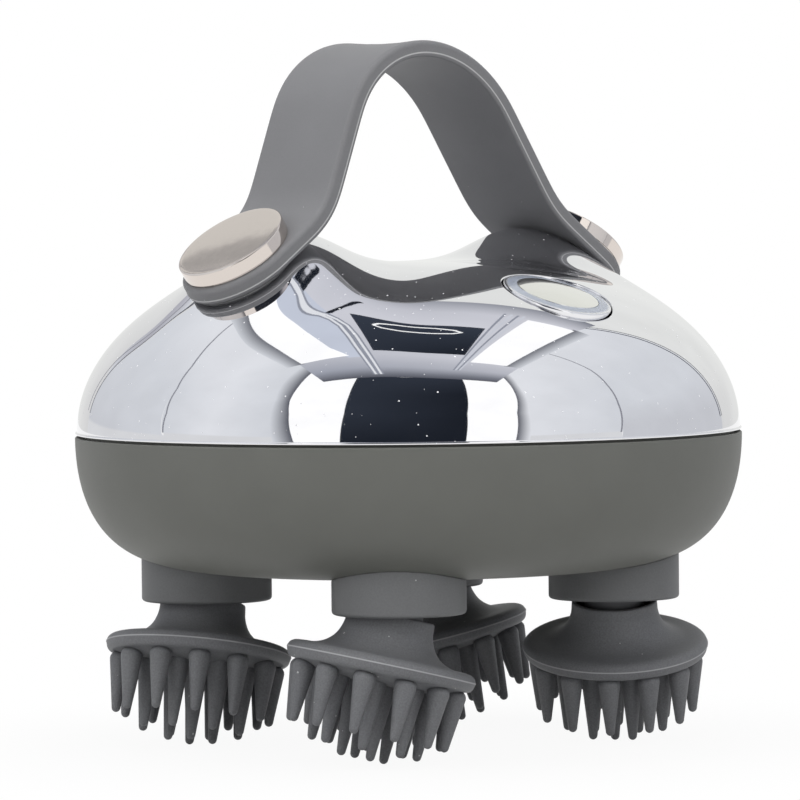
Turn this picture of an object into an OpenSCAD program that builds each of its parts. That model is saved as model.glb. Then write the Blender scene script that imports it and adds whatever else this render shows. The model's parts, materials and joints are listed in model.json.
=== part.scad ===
// Cordless scalp massager: a round body on four nutating silicone heads, with a carrying strap.
// Millimetres. +Z is up, Z = 0 is the surface that the prongs stand on, the strap runs along X
// and the power button faces -Y.

/* [Body] */
// Diameter of the lower housing at the seam
body_d = 120; // [118:1:128]
// Wall of both housings
wall = 2.2; // [1.8:0.1:2.6]
// Height of the dome above the seam, at the middle of its saddle
dome_h = 30.5; // [30:0.5:34]
// How far the dome stays inside the lower housing's rim
dome_inset = 0.3; // [0:0.1:0.6]
// Fullness of the dome: 2 is an ellipse, more is squarer
dome_fullness = 2.77; // [2.6:0.05:3.2]
// Depth of the lower housing below the seam
bowl_h = 25; // [24.6:0.2:27]
// Fullness of the lower housing's side
bowl_side = 6.9; // [5.5:0.1:8]
// Fullness of the lower housing's bottom edge
bowl_edge = 2.2; // [2:0.1:2.6]
// Width of the shadow gap at the seam
seam_gap = 0.45; // [0.2:0.05:0.8]

/* [Horns] */
// Height that each horn adds to the dome
horn_h = 7.5; // [6.5:0.25:8]
// Distance of each horn's crest from the middle
horn_x = 28.5; // [27:0.5:30]
// How wide a horn is along the strap
horn_len = 11.4; // [10:0.2:13]
// How wide a horn is across the strap at its inner foot
horn_width = 10.2; // [9:0.2:13]
// How much a horn widens outwards, per millimetre
horn_flare = 0.7; // [0.4:0.05:0.9]
// Depth of the shallow dip around each strap seat
seat_dip = 2; // [1:0.25:2.5]

/* [Strap] */
// Width of the strap
strap_w = 22; // [20.5:0.5:24]
// Thickness of the strap
strap_t = 3; // [2.4:0.2:3.4]
// Height of the strap's top above the seam
strap_top = 70; // [66:1:76]
// Radius of the arch at the strap's top
strap_arch_r = 22; // [18:1:24]
// Radius of the bend above each foot
strap_bend_r = 15; // [10:1:20]
// Distance of the bend's start from the cap's edge, which sets the slope of the legs
bend_gap = 0.1; // [0:0.1:1]
// Sideways lean of the relaxed strap at its top
strap_lean = 4.6; // [0:0.2:6]
// Distance of each cap's axis from the middle, at the strap's outer face
foot_x = 40; // [39:0.5:41.5]
// Height of that point above the seam
foot_z = 32.3; // [32:0.1:33]
// Tilt of each foot away from level
foot_tilt = 35.4; // [32:0.2:38]
// Diameter of the metal caps
cap_d = 20.2; // [18:0.2:20.4]
// Height of a cap above the strap
cap_h = 2.9; // [2.4:0.1:3.6]
// Diameter of a cap's threaded post
cap_post_d = 6; // [5:0.2:7]
// Thickness of the rubber washer under the strap
washer_t = 1.5; // [1.2:0.1:1.8]
// Diameter of the rubber washer
washer_d = 20; // [18:0.2:20.4]
// Diameter of the raised seat on the housing
seat_d = 20.6; // [19:0.2:21]

/* [Button] */
// Distance of the button's middle inside the body's edge
button_inset = 20.5; // [19:0.5:22]
// Diameter of the hole in the dome
button_hole_d = 20; // [18:0.2:20.4]
// Diameter of the metal touch disc
button_disc_d = 14.8; // [13:0.2:15.6]
// Gap around the light ring
button_gap = 0.25; // [0.15:0.05:0.4]
// Travel of the button
button_travel = 0.5; // [0.3:0.05:0.55]
// Radius of the button's slightly domed face
button_crown_r = 60; // [45:5:90]

/* [Gear train] */
// Distance of the heads' turning axes inside the body's edge, which sets the gears' module
head_inset = 23.25; // [22.8:0.05:24.4]
// Teeth of the driving sun gear
sun_teeth = 29; // [28:1:29]
// Teeth of each output gear
output_teeth = 20; // [19:1:20]
// Teeth of each idler
idler_teeth = 10; // [10:1:11]
// Width of a gear's teeth
gear_w = 5; // [4:0.25:5.25]
// Circumferential play between two gears
gear_play = 0.14; // [0.1:0.02:0.24]
// Diameter of the steel shafts that the heads swing on
swing_shaft_d = 4; // [3.4:0.2:4.2]
// Diameter of the journal under each output gear
journal_d = 15.2; // [14.8:0.2:15.6]
// Radial clearance of every running fit
running_fit = 0.05; // [0.02:0.01:0.08]

/* [Heads] */
// Tilt of each head's axis
head_tilt = 13.5; // [9:0.5:13.5]
// Depth of the tilt pivot below the seam
pivot_depth = 24.6; // [24.4:0.1:25]
// Diameter of the neck
neck_d = 11; // [9.6:0.2:11.4]
// Diameter of the claw's rim
claw_d = 33.4; // [31:0.2:34]
// Distance of the claw's parting line from the pivot
claw_drop = 14.9; // [14.4:0.1:16]
// Height of the claw's cup above its parting line
cup_h = 8.7; // [8:0.1:9]
// Outer diameter of the cup's lip
cup_d = 15.5; // [15.1:0.1:16]
// Diameter of a prong at its root
prong_root_d = 4.4; // [3.8:0.1:4.6]
// Diameter of a prong's round tip
prong_tip_d = 1.7; // [1.4:0.1:2.2]
// Diameter of the silicone boots
boot_d = 23.5; // [23:0.1:24.5]
// How far the boots reach below the pivot
boot_drop = 5.8; // [5.2:0.2:6.4]

/* [Inside] */
// Diameter of the motor's can
motor_d = 24; // [22:0.5:25]
// Diameter of the gearbox
gearbox_d = 34; // [30:1:35]
// Height of the gearbox
gearbox_h = 10; // [8:0.5:11]
// Diameter of the battery cell
cell_d = 18.2; // [16:0.2:18.4]
// Length of the battery cell
cell_len = 35; // [30:0.5:36]
// Thickness of the circuit boards
board_t = 1.6; // [1:0.2:2]
// Thickness of the gear plate
plate_t = 2.5; // [2:0.25:3]
// Diameter of the housing screws
screw_d = 3; // [2.5:0.1:3.2]
// Distance of the housing screws and pegs inside the body's edge
post_inset = 14; // [13:0.25:15]

/* [Hidden] */
$fn = 96;

FRONT = 0;
LEFT = 1;
RIGHT = 2;
REAR = 3;
eps = 0.01;                       // overshoot of cutting solids
seat_play = 0.1;                  // play of a loose seat, in radius
axial_play = 0.2;                 // end play of turning pieces

// Radii of the two housings
bowl_r = body_d / 2;
dome_r = bowl_r - dome_inset;
dip_r = 12;
dip_out = 5.5;                    // distance of a dip's middle outside its strap seat

// Gears: pitch radii, centre distances and heights below or above the seam
head_r = bowl_r - head_inset;
gear_module = 2 * head_r / (sun_teeth + output_teeth);
sun_r = gear_module * sun_teeth / 2;
output_r = gear_module * output_teeth / 2;
idler_r = gear_module * idler_teeth / 2;
idler_dist = sun_r + idler_r;
idler_swing = acos((pow(idler_dist, 2) + pow(head_r, 2) - pow(output_r + idler_r, 2))
                   / (2 * idler_dist * head_r));
pressure_angle = 25;
addendum = 0.9;                   // in modules
dedendum = 1.15;                  // in modules
low_level = -11;                  // underside of the sun and of the front and rear gears
level_gap = 1;
high_level = low_level + gear_w + level_gap;
gear_top = high_level + gear_w;
plate_z = gear_top + 2;
plate_top = plate_z + plate_t;
rim_r = 11.2;                     // raised rim on each output gear
rim_wall = 1.4;

// Heads, by index: position angle, lean direction of the prongs, turn of the claw, gear level
head_angle = [225, 135, 315, 45];
lean_angle = [162, 203, 43, 322];
claw_turn = [-5, 26, -2, 0];
gear_level = [low_level, high_level, high_level, low_level];
head_x = [for (a = head_angle) head_r * cos(a)];
head_y = [for (a = head_angle) head_r * sin(a)];
idler_angle = [for (i = [LEFT, RIGHT]) head_angle[i] + idler_swing];

// Prongs: rings of [count, radius, reach below the parting line, phase]
rim_up = 1.4;
rim_down = 1.8;
prong_inset = 2.9;
prong_rings = [
  [12, claw_d / 2 - prong_inset, 12.7, 0],
  [8, 9.3, 15.2, 22.5],
  [4, 4, 16.8, 0]
];
prong_tip_r = prong_tip_d / 2;
function ring_reach(ring) = (claw_drop + ring[2] - prong_tip_r) * cos(head_tilt)
                            + ring[1] * sin(head_tilt) + prong_tip_r;
pivot_z = max([for (ring = prong_rings) ring_reach(ring)]);
seam_z = pivot_z + pivot_depth;

// Journals, bushes and boots, in radius; heights below the pivot are positive downwards
journal_r = journal_d / 2;
bush_r = journal_r + 1.2;
boss_r = bush_r + 2.3;
stub_r = bush_r + 1.5;
boot_r = boot_d / 2;
boot_lip_r = stub_r - 0.15;
boot_round = 1.8;
journal_end = 0.6;
stub_end = 2;
flange_t = 0.8;
flange_r = bush_r + 1.6;
shaft_r = swing_shaft_d / 2;
core_top = 0.8;
collar_end = 2.4;
collar_r = shaft_r + 1.6;
spot_r = collar_r + 0.6;
clip_r = shaft_r + 2.2;
clip_t = 1;
groove_r = shaft_r - 0.6;
clip_lift = 0.1;
flange_top = 2.2;                 // head core's flange, above the parting line
flange_bottom = 0.2;
core_flange_r = 9.2;
cup_wall = 0.9;
cup_floor = 3;

// Strap feet
foot_in = [sin(foot_tilt), cos(foot_tilt)];
seat_drop = strap_t + washer_t;
seat_x = foot_x - seat_drop * foot_in[0];
seat_z = foot_z - seat_drop * foot_in[1];
seat_boss = 5.5;
seat_post = 2;
seat_clear = 11.6;
cap_bevel = 0.5;
strap_screw_d = 3;
strap_screw_head_r = 2.8;
strap_screw_head_t = 1.8;
strap_screw_grip = 4;             // length inside the cap's post
lean_start = foot_z + 6;

// Each leg touches the arch and the bend, which starts beside the cap
foot_flat = cap_d / 2 + bend_gap;
bend_start = [foot_x, foot_z] + foot_flat * [-cos(foot_tilt), sin(foot_tilt)];
bend_centre = bend_start + strap_bend_r * foot_in;
arch_to_bend = bend_centre - [0, strap_top - strap_arch_r];
strap_leg_angle = atan2(arch_to_bend[0], arch_to_bend[1])
                  - acos((strap_arch_r + strap_bend_r) / norm(arch_to_bend));

// Button: its axis leans by the dome's slope at its middle
function dome_z(r) = dome_h * sqrt(max(0, 1 - pow(min(1, r / dome_r), dome_fullness)));
button_y = bowl_r - button_inset;
button_z = dome_z(button_y);
button_tilt = atan((dome_z(button_y - 2) - dome_z(button_y + 2)) / 4);
button_r = button_hole_d / 2;
ring_r = button_r - button_gap;
disc_r = button_disc_d / 2;
disc_t = 1.6;
ring_t = 1.8;
gasket_t = 0.8;
ledge_depth = disc_t + ring_t + button_travel + 0.1 + gasket_t;
sleeve_top = 1.9;
sleeve_wall = 1.6;
ledge_t = 1.2;
ledge_r = button_r - 1.8;
sleeve_end = ledge_depth + ledge_t;
switch_top = sleeve_end + 1.2;
switch_h = 3.5;
switch_board_z = switch_top + switch_h;
stem_r = 1.8;
board_post_r = 1.9;
switch_board_w = 25;
switch_board_l = 12;

// Housing screws at the back, pegs at the front
post_circle_r = bowl_r - post_inset;
post_r = 3.2;
foot_boss_r = 4.9;
screw_r = screw_d / 2;
screw_play = 0.2;
screw_grip = 8;
screw_head_r = screw_r + 1.4;
screw_head_t = 2;
screw_seat_z = -(bowl_h - 6);
screw_angles = [12, 102];
peg_angles = [192, 282];
peg_r = 1.9;
peg_end = 5;
post_top = dome_z(post_circle_r + post_r) - 0.8;

// Tongue and seal at the seam
tongue_h = 1.5;
tongue_t = wall * 0.43;
seal_t = 0.8;
seal_w = 0.75;

// Charging port in the rear wall
port_z = -6;
port_w = 15;
port_h = 8;
port_depth = 1.4;
socket_w = 9;
socket_h = 3.2;
socket_len = 7.5;
socket_wall = 0.3;
port_face = bowl_r - dome_inset - port_depth - 0.3;
charge_post_x = 4.5;
charge_post_r = 2;
charge_board_w = 14;
charge_board_in = 8;              // the board's inner and outer end, inside the port's face
charge_board_out = 4.1;
plug_play = 0.15;
plug_tongue = 5;

// Motor stack, battery and boards
motor_top = dome_h - wall - 1.1;
cell_r = cell_d / 2;
cell_y = gearbox_d / 2 + cell_r + 2.3;
cell_z = plate_top + 1.2 + cell_r;
cradle_w = cell_len - 5;
cradle_wall = 1;
cradle_post_gap = 0.3;
board_standoff = 2.5;
main_board_w = 54;
main_board_gap = 4;               // between the gearbox and the main board
board_post_gap = 0.8;             // between the main board and the pegs' posts
main_board_l = post_circle_r * cos(peg_angles[1] - 270) - post_r - board_post_gap
               - main_board_gap - gearbox_d / 2;
main_board_y = -(gearbox_d / 2 + main_board_gap + main_board_l / 2);
chip_w = 7;
chip_t = 1.2;
chip_x = -12;
coil_w = 6;
coil_l = 5;
coil_t = 2;
coil_x = 4;
can_r = 2.5;
can_h = 4;
can_x = 15;
board_screw_r = 1;
board_screw_head_r = 1.9;
pin_r = 2;
sun_shaft_r = 3;
sun_pin_r = 2.5;
floor_boss_r = 6;
idler_boss_r = 4;
plate_r = post_circle_r + foot_boss_r + 1;
motor_screw_circle = 12;
motor_screw_r = 1.25;
motor_screw_head_r = 2.3;
motor_screw_head_t = 1.4;
motor_screw_grip = 3.5;           // length inside the gearbox

// ---------- colours

chrome = [0.86, 0.87, 0.89];
nickel = [0.80, 0.77, 0.74];
strap_grey = [0.50, 0.50, 0.51];
shell_grey = [0.42, 0.42, 0.40];
boot_grey = [0.36, 0.36, 0.37];
claw_grey = [0.33, 0.33, 0.34];
steel = [0.72, 0.73, 0.75];
white_plastic = [0.90, 0.90, 0.88];
bronze = [0.72, 0.52, 0.30];
board_green = [0.10, 0.38, 0.24];
cell_blue = [0.18, 0.32, 0.62];
glow = [0.67, 0.70, 0.77];
black = [0.10, 0.10, 0.11];

// ---------- placing

module at_seam() { translate([0, 0, seam_z]) children(); }

module at_output(i) { translate([head_x[i], head_y[i], seam_z]) children(); }

// The head's own frame: pivot at the origin, the axis along +Z away from the prongs
module at_head(i) {
  translate([head_x[i], head_y[i], pivot_z])
    rotate([0, 0, lean_angle[i]])
      rotate([0, -head_tilt, 0])
        children();
}

// A strap seat's frame: the middle of the seat at the origin, its outward normal along +Z
module at_seat(side) {
  at_seam()
    translate([side * seat_x, 0, seat_z])
      rotate([0, side * foot_tilt, 0])
        children();
}

module at_button() {
  at_seam()
    translate([0, -button_y, button_z])
      rotate([button_tilt, 0, 0])
        children();
}

module at_screws() {
  for (a = screw_angles) rotate([0, 0, a]) translate([post_circle_r, 0, 0]) children();
}

module at_pegs() {
  for (a = peg_angles) rotate([0, 0, a]) translate([post_circle_r, 0, 0]) children();
}

module at_posts() {
  at_screws() children();
  at_pegs() children();
}

module at_motor_screws() {
  for (a = [30, 150, 270]) rotate([0, 0, a]) translate([motor_screw_circle, 0, 0]) children();
}

module at_idlers() {
  for (a = idler_angle) rotate([0, 0, a]) translate([idler_dist, 0, 0]) children();
}

module ring(r_out, r_in, h) {
  difference() {
    cylinder(h = h, r = r_out);
    translate([0, 0, -eps]) cylinder(h = h + 2 * eps, r = r_in);
  }
}

// A bar with round ends, standing on its underside
module stadium(w, h, length) {
  hull_r = h / 2;
  union() {
    translate([-(w / 2 - hull_r), -hull_r, 0]) cube([w - h, h, length]);
    for (side = [-1, 1]) translate([side * (w / 2 - hull_r), 0, 0]) cylinder(h = length, r = hull_r);
  }
}

// ---------- housings

// Half profile of the bowl, from the seam down to the middle of the bottom
function bowl_points(r, h, top) = concat(
  [[0, top], [r, top]],
  [for (a = [6:6:84]) [r * pow(cos(a), 2 / bowl_side), -h * pow(sin(a), 2 / bowl_edge)]],
  [[0, -h]]
);

module bowl_solid(r, h, top = 0) { rotate_extrude($fn = 144) polygon(bowl_points(r, h, top)); }

// Height added by the horns and taken by the dips around the strap seats
function horn_reach(x) = horn_width
  + horn_flare * ((abs(x) - 20) + sqrt(pow(abs(x) - 20, 2) + 36)) / 2;
function horn_z(x, y) = horn_h * exp(-pow((abs(x) - horn_x) / horn_len, 2) - pow(y / horn_reach(x), 2));
function dip_z(x, y) = seat_dip * exp(-(pow(abs(x) - seat_x - dip_out, 2) + y * y) / pow(dip_r, 2));

// A point of the dome's skin: ring angle a from the top, direction t, depth under the surface
function skin_point(a, t, depth, horn_part) =
  let (r = (dome_r - depth) * pow(sin(a), 2 / dome_fullness),
       x = r * cos(t), y = r * sin(t), rise = cos(a))
  [x, y, (dome_h - depth) * rise + horn_part * horn_z(x, y) * min(1, rise * 4) - dip_z(x, y) * rise];

skin_rings = [for (k = [1:16]) 90 * pow(k / 16, 1.15)];
skin_sides = 60;
ring_count = len(skin_rings);

// Closed shell between the outer skin and the inner skin
module dome_shell() {
  function skin(depth, horn_part) = concat(
    [for (a = skin_rings) for (s = [0:skin_sides - 1]) skin_point(a, 360 * s / skin_sides, depth, horn_part)],
    [skin_point(0, 0, depth, horn_part)]
  );
  count = ring_count * skin_sides;
  points = concat(skin(0, 1), skin(wall, 0.6));
  function at(base, k, s) = base + k * skin_sides + s % skin_sides;
  function band(base, k) = [for (s = [0:skin_sides - 1])
    [at(base, k, s), at(base, k, s + 1), at(base, k + 1, s + 1), at(base, k + 1, s)]];
  function cap(base) = [for (s = [0:skin_sides - 1]) [base + count, at(base, 0, s + 1), at(base, 0, s)]];
  function triangles(quads) = [for (q = quads) each [[q[0], q[1], q[2]], [q[0], q[2], q[3]]]];
  function flipped(faces) = [for (f = faces) [for (k = [len(f) - 1:-1:0]) f[k]]];
  outer = concat(triangles([for (k = [0:ring_count - 2]) each band(0, k)]), cap(0));
  inner_base = count + 1;
  inner = concat(triangles([for (k = [0:ring_count - 2]) each band(inner_base, k)]), cap(inner_base));
  rim = triangles([for (s = [0:skin_sides - 1])
    [at(0, ring_count - 1, s), at(0, ring_count - 1, s + 1),
     at(inner_base, ring_count - 1, s + 1), at(inner_base, ring_count - 1, s)]]);
  polyhedron(points = points, faces = concat(outer, flipped(inner), rim));
}

module upper_housing() {
  color(chrome) difference() {
    union() {
      difference() {
        at_seam() dome_shell();
        for (side = [-1, 1]) at_seat(side) cylinder(h = 12, r = seat_clear);
      }
      for (side = [-1, 1]) at_seat(side) {
        translate([0, 0, -2.6]) cylinder(h = 2.6, r = seat_d / 2);
        translate([0, 0, -seat_boss]) cylinder(h = seat_boss - 1, r = strap_screw_d / 2 + 3.2);
      }
      at_button() translate([0, 0, -sleeve_end])
        cylinder(h = sleeve_end - sleeve_top, r = button_r + sleeve_wall);
      at_button() for (side = [-1, 1])
        translate([side * (button_r - 0.1), 0, -switch_board_z])
          cylinder(h = switch_board_z - ledge_depth - 0.4, r = board_post_r);
      at_seam() at_posts() translate([0, 0, plate_top]) cylinder(h = post_top - plate_top, r = post_r);
    }
    for (side = [-1, 1]) at_seat(side) {
      translate([0, 0, -seat_post - 0.3]) cylinder(h = 4, r = cap_post_d / 2 + seat_play);
      translate([0, 0, -12]) cylinder(h = 14, r = strap_screw_d / 2 + screw_play);
    }
    at_button() {
      translate([0, 0, -ledge_depth]) cylinder(h = ledge_depth + 4, r = button_r);
      translate([0, 0, -sleeve_end - 1]) cylinder(h = sleeve_end, r = ledge_r);
      for (side = [-1, 1]) translate([side * (button_r - 0.1), 0, -switch_board_z - eps])
        cylinder(h = 4, r = board_screw_r - 0.05);
    }
    at_seam() at_screws() translate([0, 0, plate_top - eps]) cylinder(h = screw_grip + 0.5, r = screw_r);
    at_seam() at_pegs() translate([0, 0, plate_top - eps]) cylinder(h = peg_end + 0.5, r = peg_r);
    at_seam() translate([0, 0, -eps]) cylinder(h = tongue_h + seal_t + eps,
      r = bowl_r - wall + tongue_t + seat_play, $fn = 144);
  }
}

module lower_housing() {
  tongue_r = bowl_r - wall + tongue_t;
  color(shell_grey) at_seam() difference() {
    union() {
      difference() {
        union() {
          bowl_solid(bowl_r, bowl_h, -seam_gap);
          cylinder(h = tongue_h, r = tongue_r, $fn = 144);
          translate([0, 0, -seam_gap - eps]) cylinder(h = seam_gap + 2 * eps, r = tongue_r, $fn = 144);
        }
        bowl_solid(bowl_r - wall, bowl_h - wall, tongue_h + eps);
      }
      intersection() {
        bowl_solid(bowl_r - wall / 2, bowl_h - wall / 2, 0);
        union() {
          for (i = [FRONT:REAR]) translate([head_x[i], head_y[i], -bowl_h])
            cylinder(h = bowl_h + gear_level[i] - axial_play - flange_t, r = boss_r);
          at_posts() translate([0, 0, -bowl_h]) cylinder(h = bowl_h, r = foot_boss_r);
          translate([0, 0, -bowl_h]) cylinder(h = bowl_h + low_level - axial_play, r = floor_boss_r);
          at_idlers() translate([0, 0, -bowl_h])
            cylinder(h = bowl_h + low_level - axial_play, r = idler_boss_r);
          translate([-port_w / 2 - 2, port_face - 3.6, port_z - port_h / 2 - 1.5])
            cube([port_w + 4, wall + 6, port_h + 3]);
          for (side = [-1, 1]) translate([side * charge_post_x, port_face - 5.5, -bowl_h])
            cylinder(h = bowl_h + port_z - socket_h / 2 - board_t, r = charge_post_r);
        }
      }
      at_posts() translate([0, 0, -eps]) cylinder(h = plate_z + eps, r = foot_boss_r);
      at_pegs() cylinder(h = plate_top + peg_end, r = peg_r);
      for (i = [FRONT:REAR]) translate([head_x[i], head_y[i], -pivot_depth - stub_end])
        cylinder(h = pivot_depth + stub_end - bowl_h + 2 * wall, r = stub_r);
    }
    for (i = [FRONT:REAR]) translate([head_x[i], head_y[i], -bowl_h - 5])
      cylinder(h = bowl_h + 5 + plate_z, r = bush_r);
    at_screws() {
      translate([0, 0, -bowl_h - 1]) cylinder(h = bowl_h + 1 + plate_z + eps, r = screw_r + screw_play);
      translate([0, 0, -bowl_h - 1]) cylinder(h = bowl_h + 1 + screw_seat_z, r = screw_head_r + screw_play);
    }
    translate([0, 0, low_level - axial_play - 8]) cylinder(h = 9, r = sun_pin_r + running_fit);
    at_idlers() translate([0, 0, low_level - axial_play - 8]) cylinder(h = 9, r = pin_r);
    translate([0, port_face - 8, port_z]) rotate([-90, 0, 0])
      stadium(socket_w + 0.4, socket_h + 0.4, 12);
    translate([0, port_face, port_z]) rotate([-90, 0, 0]) stadium(port_w, port_h, 5);
  }
}

module seam_seal() {
  color(black) at_seam() translate([0, 0, tongue_h])
    ring(bowl_r - wall + tongue_t, bowl_r - wall + tongue_t - seal_w, seal_t, $fn = 144);
}

// ---------- strap

// Outer face of the strap's right half, from the foot's end up to the top, before it leans
function strap_half() =
  let (leg = strap_leg_angle, arch_z = strap_top - strap_arch_r, turn = leg - foot_tilt)
  concat(
    [[foot_x + strap_w / 2 * cos(foot_tilt), foot_z - strap_w / 2 * sin(foot_tilt)]],
    [for (k = [0:4]) let (a = foot_tilt + turn * k / 4) bend_centre - strap_bend_r * [sin(a), cos(a)]],
    [for (k = [0:13]) let (a = leg * (1 - k / 14)) [strap_arch_r * sin(a), arch_z + strap_arch_r * cos(a)]]
  );
function leaned(p) = [p[0] - strap_lean * max(0, (p[1] - lean_start) / (strap_top - lean_start)), p[1]];
function strap_path() =
  let (half = strap_half(), n = len(half))
  [for (p = concat(half, [[0, strap_top]], [for (k = [n - 1:-1:0]) [-half[k][0], half[k][1]]])) leaned(p)];
function unit(v) = v / norm(v);
// The inner face lies one thickness inside the outer one, along each point's own normal
function inner_path(path) =
  let (n = len(path))
  [for (k = [0:n - 1])
    let (d = unit(path[min(n - 1, k + 1)] - path[max(0, k - 1)])) path[k] + strap_t * [-d[1], d[0]]];

module strap() {
  path = strap_path();
  inner = inner_path(path);
  n = len(path);
  color(strap_grey) difference() {
    at_seam() translate([0, strap_w / 2, 0]) rotate([90, 0, 0]) linear_extrude(strap_w)
      polygon(concat(path, [for (k = [n - 1:-1:0]) inner[k]]));
    for (side = [-1, 1]) at_seat(side) {
      translate([0, 0, washer_t - 1]) cylinder(h = strap_t + 2, r = cap_post_d / 2 + seat_play);
      difference() {
        translate([side > 0 ? 0 : -strap_w, -strap_w, washer_t - 2])
          cube([strap_w, 2 * strap_w, strap_t + 4]);
        translate([0, 0, washer_t - 3]) cylinder(h = strap_t + 6, r = strap_w / 2);
      }
    }
  }
}

module strap_cap(side) {
  color(nickel) at_seat(side) translate([0, 0, seat_drop]) difference() {
    rotate_extrude() polygon([
      [0, -seat_drop - seat_post], [cap_post_d / 2, -seat_drop - seat_post], [cap_post_d / 2, 0],
      [cap_d / 2 - 0.2, 0], [cap_d / 2, 0.2], [cap_d / 2, cap_h - cap_bevel],
      [cap_d / 2 - cap_bevel * 0.3, cap_h - cap_bevel * 0.3], [cap_d / 2 - cap_bevel, cap_h], [0, cap_h]
    ]);
    translate([0, 0, -seat_drop - seat_post - eps]) cylinder(h = 5, r = strap_screw_d / 2);
  }
}

module strap_washer(side) {
  color(boot_grey) at_seat(side) ring(washer_d / 2, cap_post_d / 2 + seat_play, washer_t);
}

module screw(r, head_r, head_t, length) {
  union() {
    translate([0, 0, -head_t]) cylinder(h = head_t, r = head_r);
    translate([0, 0, -eps]) cylinder(h = length + eps, r = r);
  }
}

module strap_screws() {
  color(steel) for (side = [-1, 1]) at_seat(side) translate([0, 0, -seat_boss])
    screw(strap_screw_d / 2, strap_screw_head_r, strap_screw_head_t,
      seat_boss - seat_post + strap_screw_grip);
}

// ---------- button

module button_disc() {
  color(chrome) at_button() union() {
    intersection() {
      translate([0, 0, -disc_t]) cylinder(h = disc_t + 1, r = disc_r);
      translate([0, 0, -button_crown_r]) sphere(r = button_crown_r, $fn = 144);
    }
    translate([0, 0, -switch_top + button_travel + 0.05])
      cylinder(h = switch_top - button_travel - disc_t, r = stem_r);
  }
}

module light_ring() {
  color(glow) at_button() difference() {
    intersection() {
      translate([0, 0, -disc_t - ring_t]) cylinder(h = disc_t + ring_t + 1, r = ring_r);
      translate([0, 0, -button_crown_r]) sphere(r = button_crown_r, $fn = 144);
    }
    translate([0, 0, -disc_t]) cylinder(h = disc_t + 2, r = disc_r);
    translate([0, 0, -disc_t - ring_t - 1]) cylinder(h = ring_t + 2, r = stem_r);
  }
}

module button_gasket() {
  color(black) at_button() translate([0, 0, -ledge_depth]) ring(button_r - seat_play, ledge_r, gasket_t);
}

module switch_board() {
  color(board_green) at_button() translate([0, 0, -switch_board_z - board_t]) difference() {
    translate([-switch_board_w / 2, -switch_board_l / 2, 0]) cube([switch_board_w, switch_board_l, board_t]);
    for (side = [-1, 1]) translate([side * (button_r - 0.1), 0, -1])
      cylinder(h = board_t + 2, r = board_screw_r + 0.1);
  }
}

module tact_switch() {
  body = 6;
  color(black) at_button() translate([0, 0, -switch_board_z]) union() {
    translate([-body / 2, -body / 2, 0]) cube([body, body, switch_h - 1]);
    translate([0, 0, switch_h - 1 - eps]) cylinder(h = 1 + eps, r = stem_r - 0.2);
  }
}

// ---------- boards, battery and charging port

module at_board_corners() {
  for (sx = [-1, 1]) for (sy = [-1, 1])
    translate([sx * (main_board_w / 2 - 3), main_board_y + sy * (main_board_l / 2 - 3), 0]) children();
}

module main_board() {
  z = plate_top + board_standoff;
  color(board_green) at_seam() union() {
    difference() {
      translate([-main_board_w / 2, main_board_y - main_board_l / 2, z])
        cube([main_board_w, main_board_l, board_t]);
      at_board_corners() translate([0, 0, z - 1]) cylinder(h = board_t + 2, r = board_screw_r + 0.1);
    }
    translate([chip_x, main_board_y - chip_w / 2, z + board_t - eps]) cube([chip_w, chip_w, chip_t]);
    translate([coil_x, main_board_y - coil_w / 2, z + board_t - eps]) cube([coil_w, coil_l, coil_t]);
    translate([can_x, main_board_y, z + board_t - eps]) cylinder(h = can_h, r = can_r);
  }
}

module charge_board() {
  color(board_green) at_seam()
    translate([-charge_board_w / 2, port_face - charge_board_in, port_z - socket_h / 2 - board_t])
      cube([charge_board_w, charge_board_in - charge_board_out, board_t]);
}

module usb_socket() {
  color(steel) at_seam() translate([0, port_face - 0.1 - socket_len, port_z]) rotate([-90, 0, 0])
    difference() {
      stadium(socket_w, socket_h, socket_len);
      translate([0, 0, 1.5]) stadium(socket_w - 2 * socket_wall, socket_h - 2 * socket_wall, socket_len);
    }
}

module port_plug() {
  color(boot_grey) at_seam() union() {
    intersection() {
      translate([0, port_face + 0.05, port_z]) rotate([-90, 0, 0])
        stadium(port_w - 2 * plug_play, port_h - 2 * plug_play, 6);
      bowl_solid(bowl_r - 0.05, bowl_h - 0.05, 0);
    }
    translate([0, port_face - plug_tongue, port_z]) rotate([-90, 0, 0])
      stadium(socket_w - 2 * socket_wall - 2 * plug_play, socket_h - 2 * socket_wall - 2 * plug_play,
        plug_tongue + 0.2);
  }
}

module battery() {
  color(cell_blue) at_seam() translate([-cell_len / 2, cell_y, cell_z]) rotate([0, 90, 0]) union() {
    cylinder(h = cell_len - 1, r = cell_r);
    translate([0, 0, cell_len - 1 - eps]) cylinder(h = 1 + eps, r = cell_r / 3);
  }
}

module battery_cradle() {
  color(white_plastic) at_seam() difference() {
    translate([-cradle_w / 2, cell_y - cell_r - cradle_wall, plate_top])
      cube([cradle_w, 2 * (cell_r + cradle_wall), cell_z - plate_top - 1.5]);
    translate([-cradle_w / 2 - 1, cell_y, cell_z]) rotate([0, 90, 0]) cylinder(h = cradle_w + 2, r = cell_r);
    for (k = [-1, 0, 1]) translate([k * cradle_w / 3 - 2.5, cell_y - cell_r - cradle_wall - 1, plate_top + 3])
      cube([5, 2 * (cell_r + cradle_wall) + 2, cell_z]);
    at_posts() translate([0, 0, plate_top - 1]) cylinder(h = cell_z, r = post_r + cradle_post_gap);
  }
}

// ---------- motor and gear plate

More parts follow.
